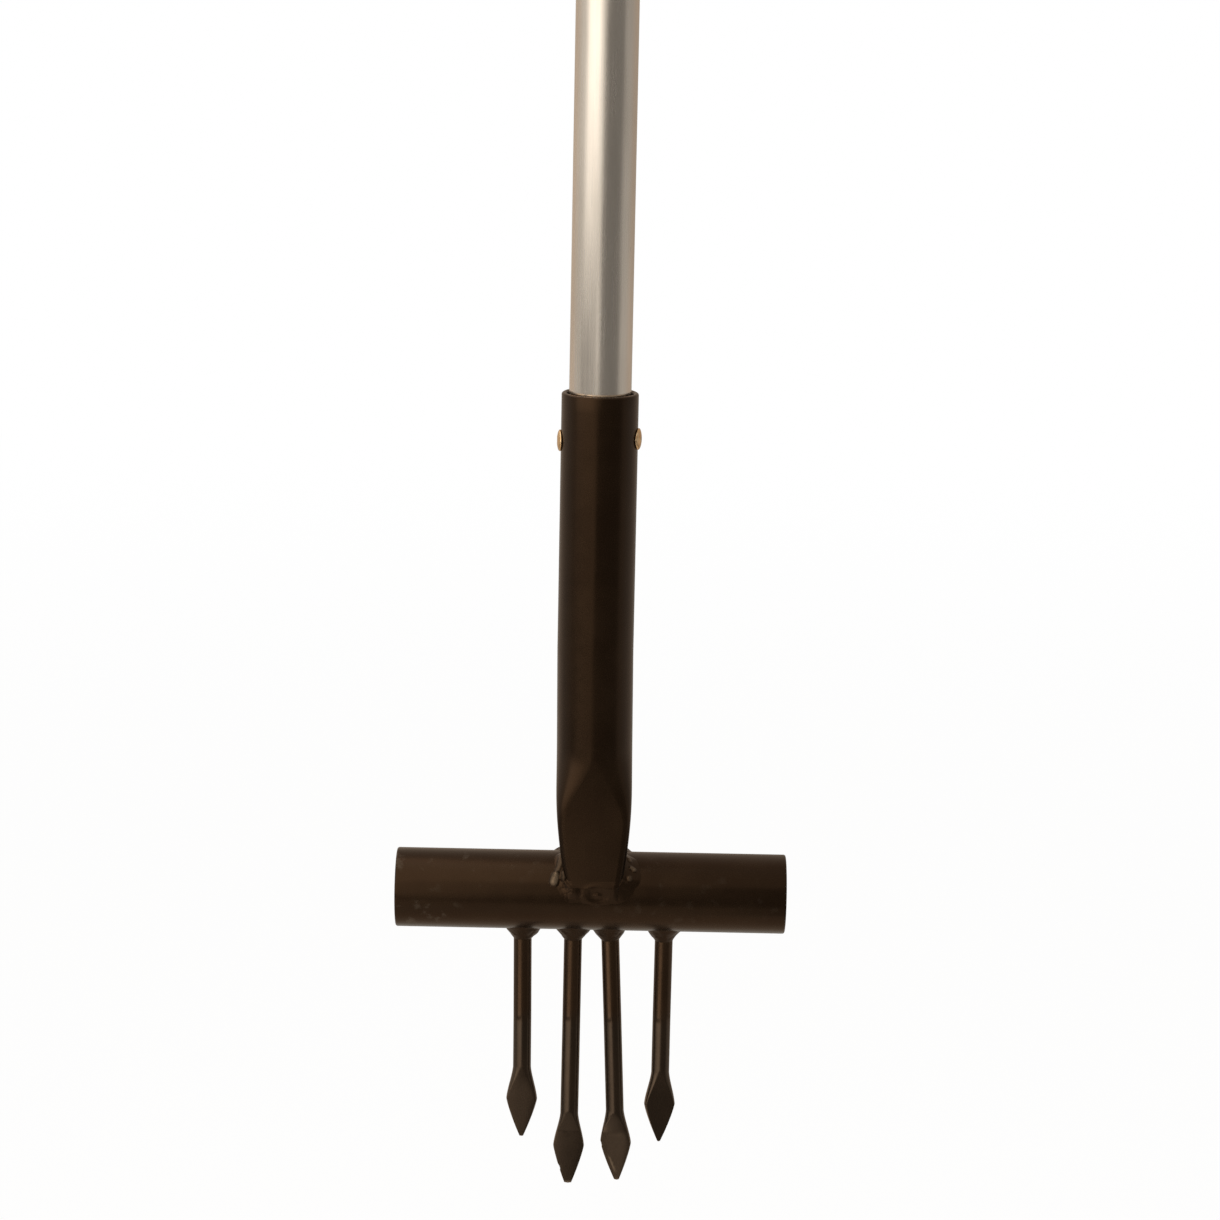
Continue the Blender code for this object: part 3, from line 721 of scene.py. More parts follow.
def black_coat(name, roughness, ior, smudged=0.0, wear_and_glint=False, rim_glint=False):
    """Satin black paint on steel: soft orange peel, uneven gloss and faint smudges.

    Lighter bare steel shows where the piece's own attribute says so: worn tips and chips, and painted
    highlight on the points' left edges and on weld beads. A thin painted highlight drawn as steel runs along
    the front of the socket's rim, and below the prongs' kink the reflections get a painted greyer tint.
    """
    material, tree, shader = new_material(name, 0.0, roughness)
    place = object_place(tree)
    parts = tree.nodes.new("ShaderNodeSeparateXYZ")
    tree.links.new(place, parts.inputs[0])
    x, y, z = (Term(tree, parts.outputs[axis]) for axis in "XYZ")
    patches = cloud(tree, place, 45.0)
    grain = cloud(tree, place, 420.0)
    shade = stepped(patches, 0.35, 0.70)
    colour = tinted(tree, BLACK, BROWN_BLACK, shade)
    smudges = stepped(cloud(tree, place, 170.0, 4.0), 0.56, 0.72)
    smudges = smudges * stepped(cloud(tree, place, 30.0), 0.45, 0.62)
    smudges = smudges * mixed(0.25, 1.0, stepped(-x, 0.0, 0.030)) * smudged
    colour = tinted(tree, colour, SMUDGE, smudges)
    gloss = roughness + (patches - 0.5) * 0.10 + (grain - 0.5) * 0.08 + smudges * 0.06
    shader.inputs["Specular Tint"].default_value = (*PAINT_SHEEN, 1.0)
    if wear_and_glint:
        # Below the prongs' kink the reflections are tinted greyer: a painted reflection tint.
        greyer_reflection = stepped(-z, KINK_DROP - 0.006, KINK_DROP + 0.004)
        tree.links.new(tinted(tree, PAINT_SHEEN, GREYER_REFLECTION_TINT, greyer_reflection), shader.inputs["Specular Tint"])
        # The piece's own attribute mixes in lighter, partly metallic steel: wear at tips and chips, painted
        # highlight on left edges and weld beads.
        attribute = tree.nodes.new("ShaderNodeAttribute")
        attribute.attribute_name = "wear_and_glint"
        steel_share = between(Term(tree, attribute.outputs["Fac"]) * (0.4 + grain * 1.2), 0.0, 1.0)
        colour = tinted(tree, colour, GLINT_AND_WORN_STEEL, steel_share)
        gloss = gloss + steel_share * 0.12
        feed(steel_share * 0.4, shader.inputs["Metallic"])
    if rim_glint:
        # A thin line of lighter, metallic steel on the inner half of the rim's top, on its front half only:
        # a painted highlight.
        rim_top = BAR_RADIUS + SOCKET_TOP
        wall_middle = SOCKET_RADIUS - SOCKET_WALL / 2
        inner_half = 1.0 - stepped(root(x * x + y * y), wall_middle, wall_middle + SOCKET_WALL / 6)
        steel_share = stepped(z, rim_top - 0.0004, rim_top - 0.0001) * inner_half * stepped(grain, 0.25, 0.45)
        steel_share = steel_share * stepped(-y, 0.3 * SOCKET_RADIUS, 0.7 * SOCKET_RADIUS)
        colour = tinted(tree, colour, RIM_GLINT_COLOUR, steel_share)
        feed(steel_share, shader.inputs["Metallic"])
    tree.links.new(colour, shader.inputs["Base Color"])
    feed(gloss, shader.inputs["Roughness"])
    shader.inputs["IOR"].default_value = ior
    waves = bumped(tree, shader, cloud(tree, place, 70.0, 1.0), 0.00012)
    bumped(tree, shader, cloud(tree, place, 900.0, 2.0), 0.000008, waves)
    return material


def drawn_aluminium():
    """A drawn tube: fine lines along it, dull patches and a few short scuffs.

    The lines spread a highlight round the tube more than along it.
    """
    material, tree, shader = new_material("drawn_aluminium", 1.0, 0.26)
    shader.inputs["Anisotropic"].default_value = 0.7
    around = tree.nodes.new("ShaderNodeVectorMath")
    around.operation = "CROSS_PRODUCT"
    around.inputs[0].default_value = (0.0, 0.0, 1.0)
    tree.links.new(object_place(tree), around.inputs[1])
    tree.links.new(around.outputs[0], shader.inputs["Tangent"])
    place = object_place(tree)
    lines = cloud(tree, object_place(tree, (1.0, 1.0, 0.012)), 1400.0, 4.0)
    bands = cloud(tree, object_place(tree, (1.0, 1.0, 0.10)), 160.0, 3.0)
    patches = cloud(tree, place, 28.0)
    scuffs = stepped(cloud(tree, object_place(tree, (1.0, 1.0, 0.45)), 330.0, 2.0), 0.70, 0.74)
    scuffs = scuffs * stepped(patches, 0.50, 0.62)
    colour = tinted(tree, (0.72, 0.69, 0.65), (0.80, 0.77, 0.73), stepped(bands, 0.3, 0.7))
    colour = tinted(tree, colour, (0.46, 0.43, 0.39), scuffs * 0.6)
    tree.links.new(colour, shader.inputs["Base Color"])
    feed(0.26 + (patches - 0.5) * 0.10 + (lines - 0.5) * 0.12 + scuffs * 0.12, shader.inputs["Roughness"])
    soft = bumped(tree, shader, lines, 0.000012)
    bumped(tree, shader, scuffs, 0.00003, soft)
    return material


def gold_plating():
    """Yellow zinc plating: warm, a little blotched, with fine handling marks."""
    material, tree, shader = new_material("gold_plating", 1.0, 0.30)
    place = object_place(tree)
    patches = cloud(tree, place, 420.0)
    colour = tinted(tree, (0.80, 0.60, 0.37), (0.64, 0.42, 0.22), stepped(patches, 0.40, 0.70))
    tree.links.new(colour, shader.inputs["Base Color"])
    feed(0.26 + (patches - 0.5) * 0.2, shader.inputs["Roughness"])
    bumped(tree, shader, cloud(tree, place, 1500.0, 2.0), 0.00002)
    return material


def bare_steel():
    """The broken end of a rivet's mandrel: grey, rough steel."""
    material, tree, shader = new_material("bare_steel", 1.0, 0.45)
    place = object_place(tree)
    patches = cloud(tree, place, 900.0)
    colour = tinted(tree, (0.46, 0.43, 0.39), (0.27, 0.24, 0.20), stepped(patches, 0.4, 0.65))
    tree.links.new(colour, shader.inputs["Base Color"])
    feed(0.42 + (patches - 0.5) * 0.25, shader.inputs["Roughness"])
    bumped(tree, shader, patches, 0.00008)
    return material


def grip_rubber():
    """Moulded black rubber: matt, finely grained, with a little uneven tone in patches."""
    material, tree, shader = new_material("grip_rubber", 0.0, 0.62)
    place = object_place(tree)
    patches = cloud(tree, place, 60.0)
    grain = cloud(tree, place, 1800.0, 2.0)
    colour = tinted(tree, (0.017, 0.016, 0.015), (0.034, 0.032, 0.030), stepped(patches, 0.35, 0.7))
    tree.links.new(colour, shader.inputs["Base Color"])
    feed(0.60 + (patches - 0.5) * 0.2 + (grain - 0.5) * 0.1, shader.inputs["Roughness"])
    bumped(tree, shader, grain, 0.00006)
    return material


# Prongs


def prong_tree():
    """A round rod that kinks forward and is flattened into a spear point.

    Across the sheet runs round the rod, and along it from the root to the tip.
    """
    marks = dict(PRONGS["outer_left"])
    tree, size, finish = new_geometry_tree("Prong", marks)
    geometry, across, along = sheet(tree, PRONG_SIDES, PRONG_ROWS)

    kink_tangent = KINK_RADIUS * math.tan(KINK_ANGLE / 2)
    straight = KINK_DROP - kink_tangent
    kink_end = straight + KINK_RADIUS * KINK_ANGLE
    lower_length = (size["Reach"] - KINK_DROP) / math.cos(KINK_ANGLE)
    length = lower_length - kink_tangent + kink_end
    travel = least(mixed(-PRONG_ROOT_SHARE, 1.0, along) * length, length)
    from_tip = length - travel

    tilt = between((travel - straight) / KINK_RADIUS, 0.0, KINK_ANGLE)
    beyond = greatest(travel - kink_end, 0.0)
    axis_y = (cosine(tilt) - 1.0) * KINK_RADIUS - beyond * math.sin(KINK_ANGLE)
    drop = least(travel, straight) + sine(tilt) * KINK_RADIUS + beyond * math.cos(KINK_ANGLE)
    axis_x = mixed(size["Root X"], size["Tip X"], drop / size["Reach"])

    taper = between(1.0 - from_tip / POINT_LENGTH, 0.0, 1.0) ** POINT_CURVE
    blade = mixed(POINT_WIDTH / 2, size["Tip Width"] / 2, taper)
    rise = between((POINT_LENGTH + FLARE_LENGTH - from_tip) / FLARE_LENGTH, 0.0, 1.0)
    flare = mixed(PRONG_RADIUS, POINT_WIDTH / 2, (rise + eased(rise)) / 2)
    half_width = least(blade, flare)

    turn = across * (2 * math.pi)
    sideways = cosine(turn)
    left_side = greatest(-sideways, 0.0)
    chip = hump(from_tip, size["Chip Height"], CHIP_HALF_LENGTH) * left_side**4
    half_width = half_width - chip * size["Chip Depth"]

    facet_top = POINT_LENGTH + FLARE_LENGTH + FACET_RISE
    facet_bottom = facet_top - size["Facet Length"]
    down_facet = between((facet_top - from_tip) / size["Facet Length"], 0.0, 1.0)
    down_facet = mixed(down_facet, eased(down_facet), size["Soft Crease"])
    upper_facet = mixed(PRONG_RADIUS, POINT_THICKNESS / 2, down_facet)
    lower_face = mixed(TIP_THICKNESS / 2, POINT_THICKNESS / 2, between(from_tip / facet_bottom, 0.0, 1.0))
    crown = size["Face Crown"] * (1.0 - sideways * sideways) * between(from_tip / facet_bottom, 0.0, 1.0)
    half_thickness = upper_facet + lower_face - POINT_THICKNESS / 2 + crown
    round_through = sine(turn) * PRONG_RADIUS
    through = between(round_through, -half_thickness, half_thickness)
    squareness = 1.0 - POINT_SQUARENESS * eased(rise)
    sidestep = calculate("SIGN", sideways) * calculate("ABSOLUTE", sideways) ** squareness * half_width

    face_turn = size["Face Turn"] * eased(between((facet_top - from_tip) / FLARE_LENGTH, 0.0, 1.0))
    turned_x = sidestep * cosine(face_turn) - through * sine(face_turn)
    turned_y = sidestep * sine(face_turn) + through * cosine(face_turn)
    closed_end = past_start(along) * before_end(along)
    x = axis_x + turned_x * closed_end
    y = axis_y + turned_y * cosine(tilt) * closed_end
    z = -drop - turned_y * sine(tilt) * closed_end

    at_tip = stepped(-from_tip, -1.6 * size["Bare Tip"], -0.4 * size["Bare Tip"])
    chipped = stepped(chip, 0.3, 0.8) * calculate("GREATER_THAN", size["Chip Depth"], TINY) * 0.5
    on_point = stepped(-from_tip, -(POINT_LENGTH + FLARE_LENGTH), -POINT_LENGTH)
    # Steel along the point's edges, much stronger on the left: the left edges' extra share is a painted
    # highlight from the light on that side, the rest is wear.
    edge_wear_and_glint = stepped(calculate("ABSOLUTE", sideways), 0.86, 0.97) * on_point * mixed(0.25, 0.80, left_side)
    scar_line = -0.10 - (from_tip - SCAR_END) * SCAR_SLANT
    scar_length = hump(from_tip, SCAR_MIDDLE, SCAR_HALF_LENGTH)
    scar = scar_length * hump(sideways, scar_line, SCAR_HALF_WIDTH) * size["Scar"] * 0.7
    steel_share = greatest(greatest(at_tip * 0.6, edge_wear_and_glint), greatest(chipped, scar))
    geometry = stored(tree, geometry, "wear_and_glint", steel_share)
    geometry = moved(tree, geometry, vector(tree, x, y, z))
    closed_off(tree, geometry, finish, flipped=True)
    return tree


def prong_weld_tree():
    """The fillet round a prong's root, from its toe on the bar to its top on the rod.

    Heights are measured from the bar's underside; the sheet's rows run from the toe in to the rod.
    """
    sizes = {"Root X": 0.0, **PRONG_WELDS["outer_left"]}
    tree, size, finish = new_geometry_tree("Prong weld", sizes)
    geometry, across, along = sheet(tree, PRONG_WELD_SIDES, PRONG_WELD_ROWS)
    turn = across * (2 * math.pi)
    side = eased(between(cosine(turn) * 0.5 + 0.5, 0.0, 1.0))
    sideways = cosine(turn) * cosine(turn)
    leg = mixed(PRONG_WELD_FRONT_LEG, mixed(size["Left Leg"], size["Right Leg"], side), sideways)
    hollow = mixed(PRONG_WELD_FRONT_HOLLOW, mixed(size["Left Hollow"], size["Right Hollow"], side), sideways)

    climb = between((along - PRONG_WELD_TOE_SHARE) / PRONG_WELD_FILLET_SHARE, 0.0, 1.0)
    inward = mixed(leg + PRONG_RADIUS, PRONG_RADIUS * PRONG_WELD_INNER_SHARE, climb)
    ring = vector(tree, cosine(turn) * inward, sine(turn) * inward, climb * PRONG_WELD_HEIGHT)
    lumps = roughened(tree, ring, PRONG_WELD_RIPPLES, size["Seed"]) * PRONG_WELD_LUMPS * 2.0
    fullness = sine(climb * math.pi)
    radius = inward + lumps * fullness
    closed_end = past_start(along) * before_end(along)
    x = cosine(turn) * radius * closed_end
    y = sine(turn) * radius * closed_end
    on_bar = root(BAR_RADIUS * BAR_RADIUS - y * y)
    fall = (climb**hollow) * PRONG_WELD_HEIGHT + lumps * fullness
    z = BAR_RADIUS - mixed(on_bar - WELD_SINK, BAR_RADIUS, climb) - fall
    above = closed_end * calculate("GREATER_THAN", along, PRONG_WELD_SUNK_SHARE)
    z = mixed(BAR_RADIUS - on_bar + PRONG_WELD_SINK, z, above)
    z = mixed(z, -PRONG_WELD_HEIGHT, calculate("GREATER_THAN", along, 1.0 - END_SHARE))
    geometry = moved(tree, geometry, vector(tree, x + size["Root X"], y, z))
    closed_off(tree, geometry, finish, flipped=True)
    return tree


def dress_prongs(coat, weld_coat):
    prong_shape = prong_tree()
    weld_shape = prong_weld_tree()
    for side, marks in PRONGS.items():
        prong = grown("dressed_prong_" + side, prong_shape, marks, coat)
        fitted(prong, "black_coat", "prong_" + side)
        weld_sizes = {"Root X": marks["Root X"], **PRONG_WELDS[side]}
        weld = grown("dressed_prong_weld_" + side, weld_shape, weld_sizes, weld_coat)
        fitted(weld, "black_coat", "prong_weld_" + side)


# Shaft, bar and grip


def dress_shaft(finish):
    top = SHAFT_BOTTOM + SHAFT_LENGTH + BAR_RADIUS
    profile = tube_profile(SHAFT_RADIUS, SHAFT_WALL, SHAFT_BOTTOM + BAR_RADIUS, top, SHAFT_EDGE_RADIUS)
    mesh = spun("shaft", profile, TUBE_SIDES)
    fitted(placed("dressed_shaft", mesh, finish), "drawn_aluminium", "shaft_tube")


def dress_bar(finish):
    half = BAR_LENGTH / 2
    profile = tube_profile(BAR_RADIUS, BAR_WALL, -half, half, BAR_EDGE_RADIUS)
    mesh = spun("bar", profile, TUBE_SIDES)
    mesh.transform(Matrix.Translation((0, 0, BAR_RADIUS)) @ Matrix.Rotation(math.pi / 2, 4, "Y"))
    fitted(placed("dressed_fulcrum_bar", mesh, finish), "black_coat", "fulcrum_bar")


def grip_profile(shaft_top):
    """The grip's closed outline, from its top's middle down its side and up its bore."""
    bore = SHAFT_RADIUS + GRIP_GAP
    outer = bore + GRIP_WALL
    top = shaft_top + GRIP_GAP + GRIP_TOP_THICKNESS
    bottom = top - GRIP_LENGTH
    edge = GRIP_EDGE_RADIUS
    profile = [(GRIP_POLE_RADIUS, top)]
    profile += rounded_corner(outer - edge, top - edge, edge, math.pi / 2, 0.0, GRIP_EDGE_STEPS)
    for groove in range(GRIP_GROOVE_COUNT):
        middle = top - GRIP_FIRST_GROOVE_DROP - groove * GRIP_GROOVE_PITCH
        for step in range(GRIP_GROOVE_STEPS + 1):
            share = step / GRIP_GROOVE_STEPS
            depth = GRIP_GROOVE_DEPTH * math.sin(math.pi * share) ** 2
            profile.append((outer - depth, middle + GRIP_GROOVE_WIDTH * (0.5 - share)))
    for step in range(GRIP_COLLAR_STEPS + 1):
        share = step / GRIP_COLLAR_STEPS
        rise = GRIP_COLLAR_RISE * share * share * (3 - 2 * share)
        profile.append((outer + rise, bottom + GRIP_COLLAR_HEIGHT * (1 - GRIP_COLLAR_FLARE * share)))
    edge = GRIP_MOUTH_RADIUS
    rim = outer + GRIP_COLLAR_RISE - edge
    profile += rounded_corner(rim, bottom + edge, edge, 0.0, -math.pi / 2, GRIP_MOUTH_STEPS)
    profile += [(bore, bottom), (bore, shaft_top + GRIP_GAP), (GRIP_POLE_RADIUS, shaft_top + GRIP_GAP)]
    return profile


def grip_rib_tree():
    """Short raised ribs, evenly spaced round the grip in each band between its grooves."""
    sizes = {
        "Grip Radius": SHAFT_RADIUS + GRIP_WALL,
        "Rib Length": GRIP_RIB_LENGTH,
        "Rib Radius": GRIP_RIB_RADIUS,
        "First Band": SHAFT_LENGTH,
    }
    tree, size, finish = new_geometry_tree("Grip ribs", sizes)
    line = tree.nodes.new("GeometryNodeMeshLine")
    line.inputs["Count"].default_value = GRIP_RIB_COUNT * (GRIP_GROOVE_COUNT - 1)
    index = Term(tree, tree.nodes.new("GeometryNodeInputIndex").outputs[0])
    band = calculate("FLOOR", (index + 0.5) / GRIP_RIB_COUNT)
    turn = index * (2 * math.pi / GRIP_RIB_COUNT)
    place = vector(
        tree,
        cosine(turn) * size["Grip Radius"],
        sine(turn) * size["Grip Radius"],
        size["First Band"] - band * GRIP_GROOVE_PITCH,
    )
    points = moved(tree, line.outputs["Mesh"], place)
    ball = tree.nodes.new("GeometryNodeMeshUVSphere")
    ball.inputs["Segments"].default_value = GRIP_RIB_SIDES
    ball.inputs["Rings"].default_value = GRIP_RIB_ROWS
    ball.inputs["Radius"].default_value = 1.0
    instance = tree.nodes.new("GeometryNodeInstanceOnPoints")
    tree.links.new(points, instance.inputs["Points"])
    tree.links.new(ball.outputs["Mesh"], instance.inputs["Instance"])
    rib_width = size["Rib Radius"] * GRIP_RIB_WIDENING
    rib_scale = vector(tree, size["Rib Radius"], rib_width, size["Rib Length"] / 2)
    tree.links.new(rib_scale, instance.inputs["Scale"])
    tree.links.new(vector(tree, 0.0, 0.0, turn), instance.inputs["Rotation"])
    closed_off(tree, instance.outputs["Instances"], finish, flipped=False)
    return tree


def dress_grip(finish):
    shaft_top = SHAFT_BOTTOM + SHAFT_LENGTH + BAR_RADIUS
    mesh = spun("grip", grip_profile(shaft_top), GRIP_SIDES)
    fitted(placed("dressed_hand_grip", mesh, finish), "grip_rubber", "hand_grip")
    top = shaft_top + GRIP_GAP + GRIP_TOP_THICKNESS
    sizes = {
        "Grip Radius": SHAFT_RADIUS + GRIP_GAP + GRIP_WALL - GRIP_RIB_SINK,
        "Rib Length": GRIP_RIB_LENGTH,
        "Rib Radius": GRIP_RIB_RADIUS,
        "First Band": top - GRIP_FIRST_GROOVE_DROP - GRIP_GROOVE_PITCH / 2,
    }
    fitted(grown("grip_ribs", grip_rib_tree(), sizes, finish), "grip_rubber")


# Socket


def soft_share(value):
    share = max(0.0, min(1.0, value))
    return share * share * (3 - 2 * share)


def share_down(height, top, bottom):
    """0 above the shaped part's top, 1 below its bottom."""
    return max(0.0, min(1.0, (top - height) / (top - bottom)))


def flatness(height):
    return soft_share(share_down(height, FLATTENING_TOP, FLATTENING_BOTTOM))


def foot_size(height):
    """Half width, half depth and corner radius of the socket's outline at a height above the bar's axis."""
    squeeze = share_down(height, SQUEEZE_TOP, LIP_HEIGHT)
    half_width = SOCKET_RADIUS + (FOOT_HALF_WIDTH - SOCKET_RADIUS) * squeeze**SQUEEZE_EASE
    half_depth = SOCKET_RADIUS + (LIP_REACH - SOCKET_RADIUS) * squeeze**FLARE_EASE
    corner = SOCKET_RADIUS + (FOOT_CORNER_RADIUS - SOCKET_RADIUS) * flatness(height)
    return half_width, half_depth, min(corner, half_width)


def lean_at(height):
    return LEAN_SHIFT * max(0.0, min(1.0, (LEAN_TOP - height) / LEAN_TOP))


def socket_point(angle, height, grow):
    """A point of the socket's outline: a circle that turns into a rounded rectangle, set a little askew."""
    half_width, half_depth, corner = foot_size(height)
    x = math.copysign(half_width - corner, math.cos(angle)) + (corner + grow) * math.cos(angle)
    y = math.copysign(half_depth - corner, math.sin(angle)) + (corner + grow) * math.sin(angle)
    return Vector((x + lean_at(height), y - FOOT_TURN * flatness(height) * x, height))


def socket_bottom(angle, grow):
    """How low the wall comes: into the bar's own wall, or down to the lip at front and back."""
    height = BAR_RADIUS
    for _ in range(SADDLE_PASSES):
        depth = socket_point(angle, height, grow).y
        inside = (BAR_RADIUS - WELD_SINK) ** 2 - depth**2
        height = max(LIP_HEIGHT, math.sqrt(max(inside, 0.0)))
    return height


def dress_socket(finish):
    rows = SOCKET_ROWS
    angles = [2 * math.pi * (side + 0.5) / TUBE_SIDES for side in range(TUBE_SIDES)]
    rings = []
    edge = SOCKET_RIM_RADIUS
    for grow, heights in ((-SOCKET_WALL, range(rows, -1, -1)), (0.0, range(rows + 1))):
        bottoms = [socket_bottom(angle, grow) for angle in angles]
        wall_rings = []
        for row in heights:
            share = (row / rows) ** SOCKET_ROW_CROWDING
            ring = []
            for angle, bottom in zip(angles, bottoms):
                height = SOCKET_TOP - edge + (bottom - SOCKET_TOP + edge) * share
                ring.append(socket_point(angle, height, grow))
            wall_rings.append(ring)
        rings += wall_rings
        if grow < 0:
            for step in range(1, SOCKET_RIM_STEPS):
                turn = math.pi * step / SOCKET_RIM_STEPS
                middle = -SOCKET_WALL / 2
                spread = SOCKET_WALL / 2 * math.cos(turn)
                rise = edge * math.sin(turn)
                height = SOCKET_TOP - edge + rise
                rings.append([socket_point(angle, height, middle - spread) for angle in angles])
    mesh = ring_mesh("socket", rings)
    mesh.transform(Matrix.Translation((0, 0, BAR_RADIUS)))
    fitted(placed("dressed_socket", mesh, finish), "black_coat", "socket_tube")


# Welds round the socket's foot


def foot_distance(x, down):
    """How far a point of the bar's surface lies outside the foot's footprint, and how far below its lip."""
    height = max(BAR_RADIUS * math.cos(down / BAR_RADIUS), LIP_HEIGHT)
    half_width, _, corner = foot_size(height)
    beside = abs(x - lean_at(height)) - half_width
    below = down - BAR_RADIUS * math.atan2(LIP_REACH, LIP_HEIGHT)
    outside = math.hypot(max(beside + corner, 0.0), max(below + corner, 0.0)) - corner
    return outside + min(max(beside, below) + corner, 0.0), below


def face_rise(x, down, facing):
    """How far the foot's face and its corners stand off the bar's surface, measured square to the bar."""
    lip_angle = math.atan2(LIP_REACH, LIP_HEIGHT)
    angle = max(min(down / BAR_RADIUS, lip_angle), lip_angle / 4)
    height = LIP_HEIGHT
    for _ in range(FACE_PASSES):
        half_width, half_depth, corner = foot_size(height)
        turned = (abs(x - lean_at(height)) - half_width + corner) / corner
        fall = corner * (1.0 - math.sqrt(1.0 - max(0.0, min(CORNER_COVER, turned)) ** 2))
        reach = half_depth - fall - facing * FOOT_TURN * x
        height = max(LIP_HEIGHT, reach / math.tan(angle))
    return reach / math.sin(angle) - BAR_RADIUS


def bead_share(bead, x, down):
    """1 along the middle of a bead of weld, falling smoothly to 0 at its edges."""
    place = Vector((x, down))
    nearest = bead["radius"]
    for start, end in zip(bead["path"], bead["path"][1:]):
        start, run = Vector(start), Vector(end) - Vector(start)
        share = max(0.0, min(1.0, (place - start).dot(run) / run.length_squared))
        nearest = min(nearest, (place - start - run * share).length)
    return (1.0 - (nearest / bead["radius"]) ** 2) ** 1.5


def crater_rise(crater, x, down):
    """A shallow oval pit with a low rim and a small bead in its middle."""
    across = (x - crater["x"]) / crater["half_width"]
    away = math.hypot(across, (down - crater["down"]) / crater["half_height"])
    pit = -crater["depth"] * max(0.0, 1.0 - away * away) ** 1.5
    from_rim = (away - CRATER_RIM_PLACE) / CRATER_RIM_WIDTH
    rim = CRATER_RIM_HEIGHT * crater["depth"] * math.exp(-(from_rim**2))
    bead = crater["depth"] * math.exp(-((away / CRATER_BEAD_WIDTH) ** 2))
    return pit + rim + bead


def weld_rise(x, down, facing, beads, crater):
    """Height of the weld over the bar: fillets at the sides and under the lip, beads and a crater."""
    outside, below = foot_distance(x, down)
    beyond = max(0.0, outside)
    side = SIDE_FILLET_HEIGHT * max(0.0, 1.0 - beyond / SIDE_FILLET_LEG) ** SIDE_FILLET_HOLLOW
    overlap = LIP_OVERLAP * soft_share(1.0 + outside / LIP_OVERLAP_WIDTH)
    lip = 0.0
    if beyond < LIP_FILLET_LEG:
        fall = (1.0 - beyond / LIP_FILLET_LEG) ** LIP_FILLET_HOLLOW
        lip = max(face_rise(x, down, facing) + overlap, side) * fall
    lip -= LIP_OVERLAP_DIP * soft_share(-outside / LIP_OVERLAP_WIDTH - 1.0)
    climb = LIP_OVERLAP_WIDTH * soft_share(-outside / LIP_OVERLAP_WIDTH)
    rise = side + (lip - side) * soft_share((below + climb + LIP_BLEND) / LIP_BLEND)
    near = soft_share(1.3 - beyond / LIP_FILLET_LEG) * soft_share(0.25 + outside / LIP_OVERLAP_WIDTH)
    place = Vector((x, down, 0.1 * facing))
    ripple = noise.noise(place * WELD_RIPPLES) + 0.4 * noise.noise(place * WELD_GRAINS)
    rise += ripple * WELD_ROUGHNESS * near
    rise += sum(bead["height"] * bead_share(bead, x, down) for bead in beads)
    if crater:
        rise += crater_rise(crater, x, down)
    top_fade = soft_share(down / PATCH_TOP_FADE)
    return (rise + WELD_SINK) * mixed(PATCH_TOP_SHARE, 1.0, top_fade) - WELD_SINK


def dress_socket_weld(name, facing, beads, crater, finish):
    """A patch over the bar's surface that rises into the weld and is sunk in the bar's wall elsewhere."""
    columns = PATCH_COLUMNS
    rows = PATCH_ROWS
    bm = bmesh.new()

    def bar_point(x, down, radius):
        angle = down / BAR_RADIUS
        return bm.verts.new((x, facing * radius * math.sin(angle), BAR_RADIUS + radius * math.cos(angle)))

    outer = []
    inner = []
    wear_and_glint = []
    for row in range(rows + 1):
        down = PATCH_TOP + (PATCH_BOTTOM - PATCH_TOP) * row / rows
        line = []
        for column in range(columns + 1):
            x = PATCH_LEFT + (PATCH_RIGHT - PATCH_LEFT) * column / columns
            rise = weld_rise(x, down, facing, beads, crater) - TOE_DEPTH
            line.append(bar_point(x, down, BAR_RADIUS + max(rise, -PATCH_SINK)))
            # Each point's share of steel from the beads: partly painted highlight on the front beads, bare
            # metal on the back.
            shares = [bead["wear_and_glint"] * soft_share(bead_share(bead, x, down) * 1.4 - 0.3) for bead in beads]
            wear_and_glint.append(max(shares))
        outer.append(line)
    for row in range(rows + 1):
        down = PATCH_TOP + (PATCH_BOTTOM - PATCH_TOP) * row / rows
        inner.append([bar_point(x, down, BAR_RADIUS - PATCH_UNDERSIDE) for x in (PATCH_LEFT, PATCH_RIGHT)])
    wear_and_glint += [0.0] * (2 * (rows + 1))
    for row in range(rows):
        for column in range(columns):
            upper, lower = outer[row], outer[row + 1]
            bm.faces.new((upper[column], lower[column], lower[column + 1], upper[column + 1]))
        (left, right), (next_left, next_right) = inner[row], inner[row + 1]
        bm.faces.new((left, right, next_right, next_left))
        bm.faces.new((outer[row][0], left, next_left, outer[row + 1][0]))
        bm.faces.new((outer[row][-1], outer[row + 1][-1], next_right, right))
    bm.faces.new((*outer[0], inner[0][1], inner[0][0]))
    bm.faces.new((*reversed(outer[-1]), inner[-1][0], inner[-1][1]))
    bmesh.ops.recalc_face_normals(bm, faces=bm.faces)
    mesh = bpy.data.meshes.new(name)
    bm.to_mesh(mesh)
    bm.free()
    mesh.attributes.new("wear_and_glint", "FLOAT", "POINT").data.foreach_set("value", wear_and_glint)
    fitted(placed("dressed_" + name, mesh, finish), "black_coat", name)


# Rivets


